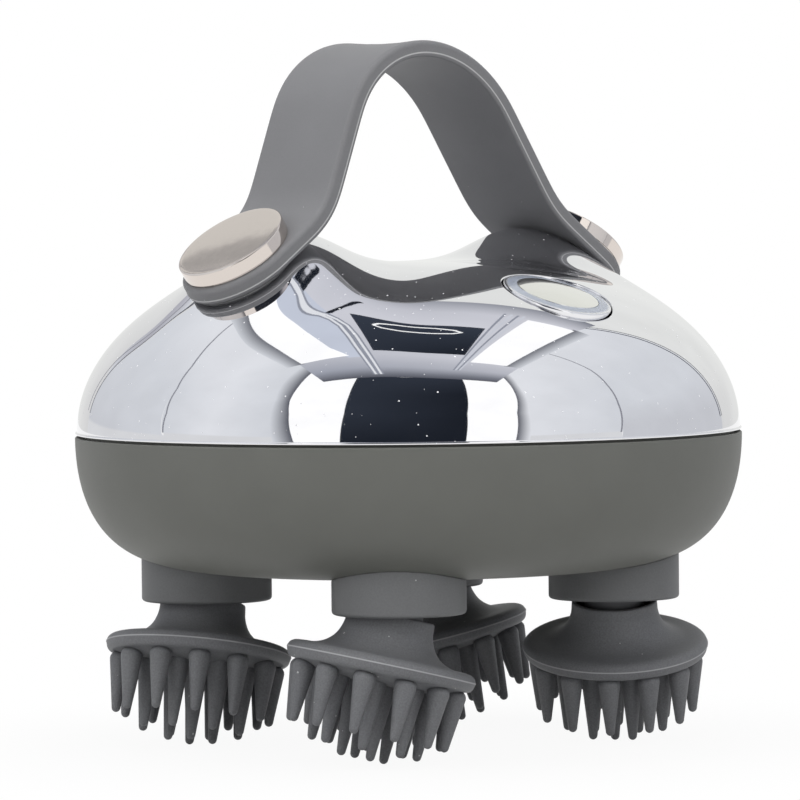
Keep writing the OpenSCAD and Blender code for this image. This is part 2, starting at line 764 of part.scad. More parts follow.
module gear_plate() {
  color(white_plastic) at_seam() difference() {
    union() {
      translate([0, 0, plate_z]) cylinder(h = plate_t, r = plate_r);
      at_board_corners() translate([0, 0, plate_top - eps]) cylinder(h = board_standoff + eps, r = 2);
      at_idlers() translate([0, 0, gear_top + axial_play]) cylinder(h = plate_z - gear_top, r = pin_r + 1.6);
    }
    translate([0, 0, plate_z - 1]) cylinder(h = plate_t + 2, r = sun_shaft_r + 1.5);
    at_posts() translate([0, 0, plate_z - 1]) cylinder(h = plate_t + 2, r = peg_r + screw_play);
    at_idlers() translate([0, 0, gear_top - 1]) cylinder(h = plate_t + 5, r = pin_r);
    at_motor_screws() translate([0, 0, plate_z - 1]) cylinder(h = plate_t + 2, r = motor_screw_r + 0.25);
    at_board_corners() translate([0, 0, plate_top + 0.2]) cylinder(h = 5, r = board_screw_r - 0.05);
  }
}

module gearbox() {
  color(steel) at_seam() difference() {
    translate([0, 0, plate_top]) cylinder(h = gearbox_h, r = gearbox_d / 2);
    translate([0, 0, plate_top - eps]) cylinder(h = gearbox_h - 2, r = sun_shaft_r + running_fit);
    at_motor_screws() translate([0, 0, plate_top - eps])
      cylinder(h = motor_screw_grip + 0.5, r = motor_screw_r);
  }
}

module motor() {
  z = plate_top + gearbox_h;
  color(steel) at_seam() union() {
    translate([0, 0, z]) cylinder(h = motor_top - 1 - z, r = motor_d / 2);
    translate([0, 0, motor_top - 1 - eps]) cylinder(h = 1 + eps, r = motor_d / 4);
  }
}

module motor_screws() {
  color(steel) at_seam() at_motor_screws() translate([0, 0, plate_z])
    screw(motor_screw_r, motor_screw_head_r, motor_screw_head_t, plate_t + motor_screw_grip);
}

module board_screws() {
  color(steel) {
    at_seam() at_board_corners() translate([0, 0, plate_top + board_standoff + board_t])
      mirror([0, 0, 1]) screw(board_screw_r - 0.05, board_screw_head_r, 1, board_t + 2);
    at_button() for (side = [-1, 1]) translate([side * (button_r - 0.1), 0, -switch_board_z - board_t])
      screw(board_screw_r - 0.05, board_screw_head_r, 1, board_t + 3);
  }
}

module housing_screws() {
  color(steel) at_seam() at_screws() translate([0, 0, screw_seat_z])
    screw(screw_r, screw_head_r, screw_head_t, plate_top - screw_seat_z + screw_grip);
}

// ---------- gears

function inv(a) = tan(a) - a * PI / 180;
// Half a tooth's angle at radius r, for a gear of pitch radius p and n teeth
function tooth_half(r, p, n) =
  let (base = p * cos(pressure_angle), at = acos(min(1, base / max(r, base))))
  90 / n - gear_play / 4 / p * 180 / PI + (inv(pressure_angle) - inv(at)) * 180 / PI;
function polar(r, a) = [r * cos(a), r * sin(a)];
function gear_outline(n, phase) =
  let (p = gear_module * n / 2, root = p - dedendum * gear_module, tip = p + addendum * gear_module,
       low = max(root, p * cos(pressure_angle)), steps = 4)
  [for (k = [0:n - 1]) let (c = phase + 360 * k / n) each concat(
    [polar(root, c - tooth_half(low, p, n))],
    [for (j = [0:steps]) let (r = low + (tip - low) * j / steps) if (r > root) polar(r, c - tooth_half(r, p, n))],
    [for (j = [steps:-1:0]) let (r = low + (tip - low) * j / steps) if (r > root) polar(r, c + tooth_half(r, p, n))],
    [polar(root, c + tooth_half(low, p, n))]
  )];

// Phase of a gear of n teeth that meshes with one of m teeth and phase f, seen from it in direction a
function mesh_phase(n, m, f, a) = a + 180 - (0.5 - (a - f) * m / 360) * 360 / n;

module gear_body(n, phase, h) { linear_extrude(h) polygon(gear_outline(n, phase)); }

function idler_phase(k) = mesh_phase(idler_teeth, sun_teeth, 0, idler_angle[k]);
function output_phase(i) =
  gear_level[i] == low_level
    ? mesh_phase(output_teeth, sun_teeth, 0, head_angle[i])
    : let (k = i - LEFT,
           dx = head_x[i] - idler_dist * cos(idler_angle[k]),
           dy = head_y[i] - idler_dist * sin(idler_angle[k]))
      mesh_phase(output_teeth, idler_teeth, idler_phase(k), atan2(dy, dx));

module drive_shaft() {
  bottom = low_level - axial_play - 7;
  color(steel) at_seam() union() {
    translate([0, 0, bottom]) cylinder(h = low_level - bottom + eps, r = sun_pin_r);
    translate([0, 0, low_level]) intersection() {
      cylinder(h = gear_w, r = sun_shaft_r);
      translate([-sun_shaft_r, -sun_shaft_r, -1]) cube([2 * sun_shaft_r, 2 * sun_shaft_r - 0.8, gear_w + 2]);
    }
    translate([0, 0, low_level + gear_w - eps])
      cylinder(h = plate_top + gearbox_h - 3 - low_level - gear_w + eps, r = sun_shaft_r);
  }
}

module sun_gear() {
  web = 1.5;
  color(white_plastic) at_seam() translate([0, 0, low_level]) difference() {
    gear_body(sun_teeth, 0, gear_w);
    intersection() {
      translate([0, 0, -eps]) cylinder(h = gear_w + 1, r = sun_shaft_r);
      translate([-sun_shaft_r, -sun_shaft_r, -1]) cube([2 * sun_shaft_r, 2 * sun_shaft_r - 0.8, gear_w + 2]);
    }
    translate([0, 0, gear_w - web]) ring(sun_r - 4, sun_shaft_r + 3.5, web + 1);
  }
}

module idler_gear(k) {
  color(white_plastic) at_seam() rotate([0, 0, idler_angle[k]]) translate([idler_dist, 0, low_level])
    rotate([0, 0, -idler_angle[k]]) difference() {
      gear_body(idler_teeth, idler_phase(k), gear_top - low_level);
      translate([0, 0, -1]) cylinder(h = gear_top - low_level + 2, r = pin_r + running_fit);
    }
}

module idler_pins() {
  color(steel) at_seam() at_idlers() translate([0, 0, low_level - axial_play - 7])
    cylinder(h = plate_top - low_level + axial_play + 7, r = pin_r);
}

// Height of a head's own spot face along its axis, above the pivot
function spot_face(i) = (gear_level[i] + gear_w + pivot_depth) / cos(head_tilt) - 2.2;

module output_gear(i) {
  z = gear_level[i];
  color(white_plastic) difference() {
    at_output(i) union() {
      translate([0, 0, z]) gear_body(output_teeth, output_phase(i), gear_w);
      translate([0, 0, -pivot_depth - journal_end])
        cylinder(h = z + pivot_depth + journal_end + eps, r = journal_r);
      translate([0, 0, z + gear_w - eps])
        ring(rim_r, rim_r - rim_wall, plate_z - axial_play - z - gear_w + eps);
    }
    at_head(i) {
      translate([0, 0, -5]) cylinder(h = 60, r = shaft_r + running_fit);
      translate([0, 0, -core_top + 0.3 - 5]) cylinder(h = 5, r = spot_r);
      translate([0, 0, spot_face(i)]) cylinder(h = 20, r = clip_r + 0.4);
    }
  }
}

module bush(i) {
  top = gear_level[i] - axial_play;
  color(bronze) at_output(i) difference() {
    union() {
      translate([0, 0, -pivot_depth - journal_end])
        cylinder(h = top + pivot_depth + journal_end, r = bush_r);
      translate([0, 0, top - flange_t]) cylinder(h = flange_t, r = flange_r);
    }
    translate([0, 0, -pivot_depth - journal_end - 1])
      cylinder(h = top + pivot_depth + journal_end + 2, r = journal_r + running_fit);
  }
}

// ---------- heads

module boot(i) {
  end = -pivot_depth - boot_drop;
  stub = -pivot_depth - stub_end;
  color(boot_grey) difference() {
    at_output(i) rotate_extrude() polygon(concat(
      [[stub_r, stub + 8], [boot_r, stub + 8]],
      [for (k = [0:6]) let (a = 90 * k / 6)
        [boot_r - boot_round * (1 - cos(a)), end + boot_round * (1 - sin(a))]],
      [[boot_lip_r, end + 0.2], [boot_lip_r, stub], [stub_r, stub]]
    ));
    at_seam() bowl_solid(bowl_r, bowl_h, -seam_gap);
  }
}

module swing_shaft(i) {
  top = spot_face(i) + clip_t + 1.2;
  bottom = claw_drop - flange_top - 1;
  color(steel) at_head(i) difference() {
    translate([0, 0, -bottom]) cylinder(h = top + bottom, r = shaft_r);
    translate([0, 0, spot_face(i) + clip_lift]) ring(shaft_r + 1, groove_r, clip_t);
  }
}

module shaft_clip(i) {
  color(steel) at_head(i) translate([0, 0, spot_face(i) + clip_lift]) difference() {
    ring(clip_r, groove_r, clip_t);
    translate([0, -groove_r * 0.8, -1]) cube([clip_r + 1, groove_r * 1.6, clip_t + 2]);
  }
}

module head_core(i) {
  parting = -claw_drop;
  color(black) at_head(i) difference() {
    rotate_extrude() polygon([
      [0, parting + flange_bottom], [core_flange_r, parting + flange_bottom],
      [core_flange_r, parting + flange_top], [neck_d / 2, parting + flange_top],
      [neck_d / 2, -collar_end - 0.4], [neck_d / 2 - 0.4, -collar_end], [collar_r, -collar_end],
      [collar_r, -core_top], [0, -core_top]
    ]);
    translate([0, 0, -claw_drop + flange_top + 1]) cylinder(h = claw_drop, r = shaft_r);
  }
}

// Half profile of the claw's bell, with heights above the parting line
claw_r = claw_d / 2;
cup_r = cup_d / 2;
bell_points = [
  [cup_r, cup_h - 0.5], [cup_r, cup_h * 0.8], [cup_r + 0.3, cup_h * 0.64], [cup_r + 0.8, cup_h * 0.5],
  [cup_r + 1.6, cup_h * 0.37], [cup_r + 2.9, cup_h * 0.25], [cup_r + 4.6, cup_h * 0.17],
  [claw_r - 2.2, rim_up], [claw_r - 0.9, rim_up * 0.9], [claw_r - 0.25, rim_up * 0.5], [claw_r, 0],
  [claw_r - 0.15, -rim_down * 0.5], [claw_r - 0.5, -rim_down * 0.85], [claw_r - 1.1, -rim_down]
];

module prong(ring, k) {
  tip_z = -ring[2] + prong_tip_r;
  rotate([0, 0, ring[3] + 180 + 360 * k / ring[0]]) translate([ring[1], 0, tip_z]) union() {
    cylinder(h = -rim_down + 0.5 - tip_z, r1 = prong_tip_r, r2 = prong_root_d / 2, $fn = 32);
    sphere(r = prong_tip_r, $fn = 32);
  }
}

module claw(i) {
  color(claw_grey) at_head(i) translate([0, 0, -claw_drop]) rotate([0, 0, claw_turn[i]]) difference() {
    union() {
      rotate_extrude() polygon(concat(
        [[0, -rim_down], [0, cup_h], [cup_r - 0.4, cup_h]],
        bell_points
      ));
      for (ring = prong_rings) for (k = [0:ring[0] - 1]) prong(ring, k);
    }
    translate([0, 0, cup_floor]) cylinder(h = cup_h, r = cup_r - cup_wall);
    translate([0, 0, flange_bottom]) cylinder(h = cup_h, r = neck_d / 2);
    translate([0, 0, flange_bottom]) cylinder(h = flange_top - flange_bottom, r = core_flange_r);
  }
}

// ---------- all pieces

upper_housing();
lower_housing();
seam_seal();
strap();
strap_cap(-1);  // strap_cap_left
strap_cap(1);  // strap_cap_right
strap_washer(-1);  // strap_washer_left
strap_washer(1);  // strap_washer_right
strap_screws();
button_disc();
light_ring();
button_gasket();
switch_board();
tact_switch();
main_board();
charge_board();
usb_socket();
port_plug();
battery();
battery_cradle();
gear_plate();
gearbox();
motor();
motor_screws();
board_screws();
housing_screws();
drive_shaft();
sun_gear();
idler_gear(0);  // idler_gear_left
idler_gear(1);  // idler_gear_right
idler_pins();
output_gear(FRONT);  // output_gear_front
output_gear(LEFT);  // output_gear_left
output_gear(RIGHT);  // output_gear_right
output_gear(REAR);  // output_gear_rear
bush(FRONT);  // bush_front
bush(LEFT);  // bush_left
bush(RIGHT);  // bush_right
bush(REAR);  // bush_rear
boot(FRONT);  // boot_front
boot(LEFT);  // boot_left
boot(RIGHT);  // boot_right
boot(REAR);  // boot_rear
swing_shaft(FRONT);  // swing_shaft_front
swing_shaft(LEFT);  // swing_shaft_left
swing_shaft(RIGHT);  // swing_shaft_right
swing_shaft(REAR);  // swing_shaft_rear
shaft_clip(FRONT);  // shaft_clip_front
head_core(FRONT);  // head_core_front
shaft_clip(LEFT);  // shaft_clip_left
head_core(LEFT);  // head_core_left
shaft_clip(RIGHT);  // shaft_clip_right
head_core(RIGHT);  // head_core_right
shaft_clip(REAR);  // shaft_clip_rear
head_core(REAR);  // head_core_rear
claw(FRONT);  // claw_front
claw(LEFT);  // claw_left
claw(RIGHT);  // claw_right
claw(REAR);  // claw_rear
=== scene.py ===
import json
import math
import bmesh
import bpy
import numpy as np
from mathutils import Matrix, Vector


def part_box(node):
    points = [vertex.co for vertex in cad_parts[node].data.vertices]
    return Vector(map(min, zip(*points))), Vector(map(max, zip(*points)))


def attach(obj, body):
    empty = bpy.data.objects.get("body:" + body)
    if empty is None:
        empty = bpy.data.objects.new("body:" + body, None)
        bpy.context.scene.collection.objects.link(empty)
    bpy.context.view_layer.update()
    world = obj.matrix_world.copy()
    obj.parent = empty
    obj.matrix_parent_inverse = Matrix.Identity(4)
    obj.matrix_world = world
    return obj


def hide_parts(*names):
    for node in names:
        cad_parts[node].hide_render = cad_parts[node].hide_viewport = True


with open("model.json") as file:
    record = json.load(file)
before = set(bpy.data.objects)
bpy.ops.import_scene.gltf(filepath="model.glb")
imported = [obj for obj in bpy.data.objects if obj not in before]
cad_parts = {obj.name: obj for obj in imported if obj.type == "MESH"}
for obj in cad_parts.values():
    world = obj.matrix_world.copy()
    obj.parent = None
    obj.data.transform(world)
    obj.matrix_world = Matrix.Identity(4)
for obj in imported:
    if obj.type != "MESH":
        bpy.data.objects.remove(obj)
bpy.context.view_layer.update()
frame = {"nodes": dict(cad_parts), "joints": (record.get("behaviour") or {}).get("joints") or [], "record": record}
mm = 0.001
sealUp = 1.5        # the seal starts this far above the seam between the housings, mm
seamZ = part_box("seam_seal")[0].z / mm - sealUp
scene = bpy.context.scene
joints = {j["name"]: j for j in frame["joints"]}
headNames = ("front", "left", "right", "rear")
sides = {"left": -1, "right": 1}
print("frame loaded, seam at", round(seamZ, 2), "mm")


# small helpers

def linearColour(hexText):
    parts = [int(hexText[k:k + 2], 16) / 255 for k in (0, 2, 4)]
    return tuple(c / 12.92 if c <= 0.04045 else ((c + 0.055) / 1.055) ** 2.4 for c in parts) + (1.0,)


def addNode(tree, kind, settings=None, sockets=None, feeds=None):
    # sockets holds values or the outputs to link from, feeds the inputs that the node's outputs go to
    node = tree.nodes.new(kind)
    for key, value in (settings or {}).items():
        setattr(node, key, value)
    for key, value in (sockets or {}).items():
        if isinstance(value, bpy.types.NodeSocket):
            tree.links.new(value, node.inputs[key])
        else:
            node.inputs[key].default_value = value
    for key, target in (feeds or {}).items():
        tree.links.new(node.outputs[key], target)
    return node


def emptyTree(owner):
    owner.use_nodes = True
    owner.node_tree.nodes.clear()
    return owner.node_tree


def newMaterial(name, sockets):
    material = bpy.data.materials.new(name)
    tree = emptyTree(material)
    shader = addNode(tree, "ShaderNodeBsdfPrincipled", None, sockets)
    addNode(tree, "ShaderNodeOutputMaterial", None, {"Surface": shader.outputs["BSDF"]})
    return material, tree, shader, addNode(tree, "ShaderNodeTexCoord").outputs["Object"]


def linkPiece(name, mesh, material):
    piece = bpy.data.objects.new(name, mesh)
    scene.collection.objects.link(piece)
    mesh.materials.clear()
    mesh.materials.append(material)
    return piece


def meshPiece(name, points, faces, material, sharp=40):
    # points in mm; doubles merged, faces turned outward, smooth shaded
    mesh = bpy.data.meshes.new(name)
    mesh.from_pydata([tuple(float(c) * mm for c in p) for p in points], [], faces)
    bm = bmesh.new()
    bm.from_mesh(mesh)
    bmesh.ops.remove_doubles(bm, verts=bm.verts, dist=2e-7)
    bmesh.ops.recalc_face_normals(bm, faces=bm.faces)
    bm.to_mesh(mesh)
    bm.free()
    mesh.shade_smooth()
    mesh.set_sharp_from_angle(angle=math.radians(sharp))
    return linkPiece(name, mesh, material)


def bake(piece):
    # the piece's modifiers become its plain mesh
    done = bpy.data.meshes.new_from_object(piece.evaluated_get(bpy.context.evaluated_depsgraph_get()))
    piece.modifiers.clear()
    piece.data = done
    return piece


def weightNormals(piece):
    piece.modifiers.new("weighted", "WEIGHTED_NORMAL").keep_sharp = True
    return bake(piece)


def rounded(corners, steps=6):
    # corners are (r, z, fillet radius); returns the line with each corner rounded
    line = []
    for k, (x, z, radius) in enumerate(corners):
        if radius <= 0 or k in (0, len(corners) - 1):
            line.append((x, z))
            continue
        p = Vector((x, z))
        a = Vector(corners[k - 1][:2]) - p
        b = Vector(corners[k + 1][:2]) - p
        reach = min(radius / math.tan(max(1e-3, a.angle(b) / 2)), a.length * 0.5, b.length * 0.5)
        start, end = p + a.normalized() * reach, p + b.normalized() * reach
        for j in range(steps + 1):
            t = j / steps
            line.append(tuple(start * (1 - t) ** 2 + p * (2 * t * (1 - t)) + end * t ** 2))
    return line


def smoothLine(points, steps=5):
    # Catmull-Rom curve through the points
    pts = [Vector(p) for p in points]
    pts = [pts[0] * 2 - pts[1]] + pts + [pts[-1] * 2 - pts[-2]]
    line = []
    for k in range(1, len(pts) - 2):
        a, b, c, d = pts[k - 1:k + 3]
        for j in range(steps):
            t = j / steps
            line.append(tuple(0.5 * (2 * b + (c - a) * t + (2 * a - 5 * b + 4 * c - d) * t ** 2
                                     + (3 * b - a - 3 * c + d) * t ** 3)))
    return line + [tuple(pts[-2])]


def ridge(edge, middle, half, crest, proud):
    # section of a moulded parting line that stands proud of an edge
    return [(edge, middle - half), (edge + proud, middle - crest), (edge + proud, middle + crest), (edge, middle + half)]


def gridFaces(rows, columns, ringRows=False, ringColumns=True):
    # quads between the points of neighbouring rows; a ring joins its last to its first
    return [[k * columns + s, k * columns + (s + 1) % columns,
             (k + 1) % rows * columns + (s + 1) % columns, (k + 1) % rows * columns + s]
            for k in range(rows if ringRows else rows - 1)
            for s in range(columns if ringColumns else columns - 1)]


def latheData(line, steps=96, closed=False, place=None):
    # turns a line of (r, z) about Z; closed joins its ends into a ring
    place = place or Matrix.Identity(4)
    points, faces, n = [], [], len(line)
    for s in range(steps):
        a = 2 * math.pi * s / steps
        points += [place @ Vector((r * math.cos(a), r * math.sin(a), z)) for r, z in line]
    for quad in gridFaces(steps, n, True, closed):
        if line[quad[0] % n][0] < 1e-6:         # triangles at the axis
            quad = quad[:3]
        elif line[quad[1] % n][0] < 1e-6:
            quad = [quad[0], quad[1], quad[3]]
        faces.append(quad)
    return points, faces


def tube(*rings):
    # shell through rings of points, closed at both ends
    n, points = len(rings[0]), [q for ring in rings for q in ring]
    return points, gridFaces(len(rings), n) + [list(range(n)), list(range(len(points) - n, len(points)))]


def joined(*parts):
    points, faces = [], []
    for p, f in parts:
        base = len(points)
        points += list(p)
        faces += [[k + base for k in face] for face in f]
    return points, faces


def lathePiece(name, line, material, steps=96, closed=False, place=None, sharp=40):
    return meshPiece(name, *latheData(line, steps, closed, place), material, sharp)


def roundCutter(radius, top, bottom, steps, place, material):
    return lathePiece("cutter", [(0, top), (radius, top), (radius, bottom), (0, bottom)], material, steps, place=place)


def cutAway(piece, cutters):
    for cutter in cutters:
        tool = piece.modifiers.new("cut", "BOOLEAN")
        tool.operation = "DIFFERENCE"
        tool.solver = "EXACT"
        tool.object = cutter
    bake(piece)
    for cutter in cutters:
        bpy.data.objects.remove(cutter)


def skinNormals(piece, onSkin, skinNormal):
    # exact normals on the faces that lie on the skin, so that reflections run smoothly past the cuts
    mesh = piece.data
    co = np.empty(len(mesh.vertices) * 3)
    mesh.vertices.foreach_get("co", co)
    co = co.reshape(-1, 3) / mm - np.array([0, 0, seamZ])
    normals = skinNormal(co)
    near = onSkin(co)
    wanted = np.zeros((len(mesh.loops), 3))
    for face in mesh.polygons:
        corners = list(face.vertices)
        if all(near[corners]) and np.dot(np.array(face.normal), normals[corners].mean(0)) > 0.5:
            for loop in face.loop_indices:
                wanted[loop] = normals[mesh.loops[loop].vertex_index]
    mesh.normals_split_custom_set([tuple(v) for v in wanted])


onRidge = 0.03      # points that lie further than this outside an edge belong to its parting line, mm


def markLine(piece, test, label="partingLineSheen"):
    # an attribute, 1 on the points that pass the test, that the material turns into another tone
    layer = piece.data.attributes.new(label, "FLOAT", "POINT")
    layer.data.foreach_set("value", [1.0 if test(v.co / mm) else 0.0 for v in piece.data.vertices])


def dress(piece, body, node):
    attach(piece, body)
    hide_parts(node)


# materials

noiseSpan = {"From Min": 0.3, "From Max": 0.7}      # nearly all of a noise's values lie in between
mixA, mixB, mixOut = 6, 7, 2        # sockets for colours on a Mix node
dustShare = 0.3         # of the cells, in which there is a speck


def dustSpecks(tree, place, spacing, size, seed):
    # sparse specks of dust: small dots in a Voronoi pattern, most cells left empty; the seed shifts it
    shifted = addNode(tree, "ShaderNodeMapping", None, {"Vector": place, "Location": (seed, seed * 0.7, seed * 0.3)})
    cells = addNode(tree, "ShaderNodeTexVoronoi", {"feature": "F1"}, {
        "Vector": shifted.outputs["Vector"], "Scale": 1 / (spacing * mm)})
    parts = addNode(tree, "ShaderNodeSeparateColor", None, {"Color": cells.outputs["Color"]})
    chosen = addNode(tree, "ShaderNodeMath", {"operation": "LESS_THAN"}, {0: parts.outputs["Red"], 1: dustShare})
    reach = addNode(tree, "ShaderNodeMath", {"operation": "MULTIPLY"}, {0: parts.outputs["Green"], 1: size / spacing})
    inside = addNode(tree, "ShaderNodeMath", {"operation": "LESS_THAN"}, {
        0: cells.outputs["Distance"], 1: reach.outputs[0]})
    return addNode(tree, "ShaderNodeMath", {"operation": "MULTIPLY"}, {
        0: chosen.outputs[0], 1: inside.outputs[0]}).outputs[0]


def relief(tree, shader, place, grain, detail, strength, depth):
    # noise with grains of that size, raised to that depth on the surface, both in mm; gives the noise back
    noise = addNode(tree, "ShaderNodeTexNoise", None, {"Vector": place, "Scale": 1 / (grain * mm), "Detail": detail})
    addNode(tree, "ShaderNodeBump", None, {"Height": noise.outputs["Fac"], "Strength": strength, "Distance": depth * mm},
            {"Normal": shader.inputs["Normal"]})
    return noise.outputs["Fac"]


def chromePlatedAbs():
    # mirror chrome over moulded ABS: crisp reflections with a slow waviness and a little dust
    material, tree, shader, place = newMaterial("chromePlatedAbs", {
        "Base Color": linearColour("ebebed"), "Metallic": 1.0, "Roughness": 0.025})
    relief(tree, shader, place, 9, 1.0, 0.12, 0.05)
    specks = dustSpecks(tree, place, 0.95, 0.17, 0.013)
    for socket, clean, dusty in (("Roughness", 0.025, 0.7), ("Metallic", 1.0, 0.25)):
        addNode(tree, "ShaderNodeMapRange", None, {"Value": specks, "To Min": clean, "To Max": dusty},
                {"Result": shader.inputs[socket]})
    return material


def polishedNickel():
    # nickel plate, warmer than chrome, with faint polishing marks
    material, tree, shader, place = newMaterial("polishedNickel", {
        "Base Color": linearColour("dcd3cc"), "Metallic": 1.0, "Roughness": 0.1})
    marks = relief(tree, shader, place, 1.4, 3.0, 0.06, 0.02)
    addNode(tree, "ShaderNodeMapRange", None, {"Value": marks, "To Min": 0.03, "To Max": 0.1},
            {"Result": shader.inputs["Roughness"]})
    return material


def satinChrome():
    # satin chrome on the touch disc: blurred reflections
    material, tree, shader, place = newMaterial("satinChrome", {
        "Base Color": linearColour("e9e9e3"), "Metallic": 1.0, "Roughness": 0.06})
    relief(tree, shader, place, 0.25, 2.0, 0.1, 0.01)
    return material


def softCoat(name, hexText, darkHex, roughness, grain, strength, specks=0.0, line=None, paintedGrainShade=0.0):
    # matt moulded or coated surface: faint blotches and a fine grain; some have painted light and shade on the grain,
    # a paler parting line, partly a painted highlight along its edge, and a little dust
    material, tree, shader, place = newMaterial(name, {"Roughness": roughness, "IOR": 1.43})
    blotch = addNode(tree, "ShaderNodeTexNoise", None, {"Vector": place, "Scale": 1 / (14 * mm), "Detail": 3.0})
    spread = addNode(tree, "ShaderNodeMapRange", None, {"Value": blotch.outputs["Fac"], **noiseSpan})
    tints = [(spread.outputs["Result"], hexText)]
    fine = relief(tree, shader, place, grain, 2.0, strength, 0.03)
    addNode(tree, "ShaderNodeMapRange", None, {"Value": fine, "To Min": roughness - 0.05, "To Max": roughness + 0.07},
            {"Result": shader.inputs["Roughness"]})
    if line:
        # the parting line's pale tint: the mould's flash, with a painted highlight along the edge
        tints.append((addNode(tree, "ShaderNodeAttribute", {"attribute_name": "partingLineSheen"}).outputs["Fac"], line))
    if specks:
        tints.append((dustSpecks(tree, place, 1.8, specks, 0.021), "b9bab8"))
    colour = linearColour(darkHex)
    for k, (factor, tint) in enumerate(tints):
        colour = addNode(tree, "ShaderNodeMix", {"data_type": "RGBA"}, {
            "Factor": factor, mixA: colour, mixB: linearColour(tint)}).outputs[mixOut]
        if paintedGrainShade and k == 0:         # painted light on the grain's tops, painted shade in its pits
            level = addNode(tree, "ShaderNodeMapRange", None, {
                "Value": fine, **noiseSpan, "To Min": 1 - paintedGrainShade, "To Max": 1 + paintedGrainShade})
            colour = addNode(tree, "ShaderNodeVectorMath", {"operation": "SCALE"}, {
                0: colour, "Scale": level.outputs["Result"]}).outputs[0]
    tree.links.new(colour, shader.inputs["Base Color"])
    return material


def lightDiffuser():
    # frosted polycarbonate light ring, unlit: cool, milky, with a soft sheen; its outer edge is chrome plated
    milky, plate, matt, bright = linearColour("9aa1ae"), linearColour("ebebed"), 0.14, 0.04
    material, tree, shader, place = newMaterial("frostedPolycarbonate", {
        "Base Color": milky, "Roughness": matt, "IOR": 1.58, "Subsurface Weight": 0.15,
        "Subsurface Radius": (0.6 * mm, 0.6 * mm, 0.8 * mm), "Subsurface Scale": 1.0})
    relief(tree, shader, place, 0.3, 2.0, 0.05, 0.02)
    plated = addNode(tree, "ShaderNodeAttribute", {"attribute_name": "plated"}, None, {"Fac": shader.inputs["Metallic"]})
    plated = plated.outputs["Fac"]
    colour = addNode(tree, "ShaderNodeMix", {"data_type": "RGBA"}, {"Factor": plated, mixA: milky, mixB: plate})
    tree.links.new(colour.outputs[mixOut], shader.inputs["Base Color"])
    addNode(tree, "ShaderNodeMapRange", None, {"Value": plated, "To Min": matt, "To Max": bright},
            {"Result": shader.inputs["Roughness"]})
    return material


def machinedMetal(name, hexText, roughness):
    # turned or stamped metal: fine tool marks
    material, tree, shader, place = newMaterial(name, {
        "Base Color": linearColour(hexText), "Metallic": 1.0, "Roughness": roughness})
    marks = addNode(tree, "ShaderNodeTexWave", {"bands_direction": "Z"}, {
        "Vector": place, "Scale": 1 / (6 * mm), "Distortion": 1.5})
    addNode(tree, "ShaderNodeBump", None, {"Height": marks.outputs["Fac"], "Strength": 0.08, "Distance": 0.02 * mm},
            {"Normal": shader.inputs["Normal"]})
    return material


finishes = {
    "chrome_shell": chromePlatedAbs(),
    "grey_shell": softCoat("softTouchPaint", "696a65", "656661", 0.52, 0.22, 0.12),         # velvety and even
    # moulded silicone: dull, with painted light and shade on its grain and a thin pale line where the mould closed,
    # partly a painted highlight
    "strap_silicone": softCoat("mattSiliconeStrap", "7e7e80", "7a7a7c", 0.5, 0.3, 0.1, 0.1, "bebebe", 0.03),
    "boot_silicone": softCoat("mattSiliconeBoot", "747576", "6f7071", 0.55, 0.3, 0.12, 0.14, "b4b4b5", 0.06),
    "claw_silicone": softCoat("mattSiliconeClaw", "727375", "6c6d70", 0.55, 0.3, 0.2, 0.2, "a6a6a8", 0.14),
    "nickel": polishedNickel(),
    "touch_metal": satinChrome(),
    "light_diffuser": lightDiffuser(),
    "black_rubber": softCoat("nitrileRubber", "232323", "1d1d1d", 0.6, 0.4, 0.15),          # dull black
    "black_plastic": softCoat("mouldedGreyNylon", "66676a", "616265", 0.5, 0.3, 0.1),       # matt, as from the mould
    "white_plastic": softCoat("mouldedAcetal", "e4e4df", "dededa", 0.35, 0.4, 0.05),        # waxy white
    "steel": machinedMetal("turnedSteel", "b9babd", 0.28),
    "bronze": machinedMetal("sinteredBronze", "b08a55", 0.42),
    "circuit_board": softCoat("solderMask", "1f5c3a", "1b5434", 0.3, 0.5, 0.05),            # glossy green lacquer
    "cell_wrap": softCoat("shrinkFilm", "3a5ea0", "36589a", 0.25, 0.8, 0.03),       # glossy film, drawn tight
}
for part in frame["record"]["subparts"]:
    cadNode = frame["nodes"][part["node"]]
    cadNode.data.materials.clear()
    cadNode.data.materials.append(finishes[part["material_slot"]])
print("materials:", len(finishes))


# upper housing: a full dome with a horn under each strap foot

domeForm = {"rim": 59.7, "height": 30.5, "fullness": 2.77, "wall": 2.2, "hornHeight": 7.5, "hornX": 28.5,
            "hornLength": 11.4, "hornWidth": 10.2, "hornFlare": 0.7, "flareFrom": 20.0, "flareSoft": 6.0, "hornFade": 4,
            "dip": 0.8, "dipX": 42.89, "dipRadius": 12.0, "swell": 2.3, "swellX": 42.0, "swellRadius": 15.0,
             "swellSquash": 0.815,
            "insideHorns": 0.6, "rings": 110, "rowPower": 1.15, "innerRings": 24, "sectors": 300, "lipBead": 0.27}
seatForm = {"x": 37.3932, "z": 28.6319, "tilt": 35.4, "pocket": 10.06, "deep": -0.4, "sides": 144}
buttonForm = {"y": 39.5, "z": 25.1785, "tilt": 22.4744, "hole": 10.0, "lip": 0.4, "ledge": 4.8, "ringOut": 9.75,
              "ringIn": 7.4, "discOut": 7.35, "crown": 60.0, "discCrown": 48.0, "lean": 2.5,
              "leanWay": -42.0, "leanFrom": -1.3, "proud": 0.3,
              "plated": 9.42, "discDeep": 1.6, "ringDeep": 3.4, "stem": 1.8, "stemEnd": -6.65, "sides": 144,
              "holeUnder": 1.2, "footOut": 1.16, "underOut": 1.12}


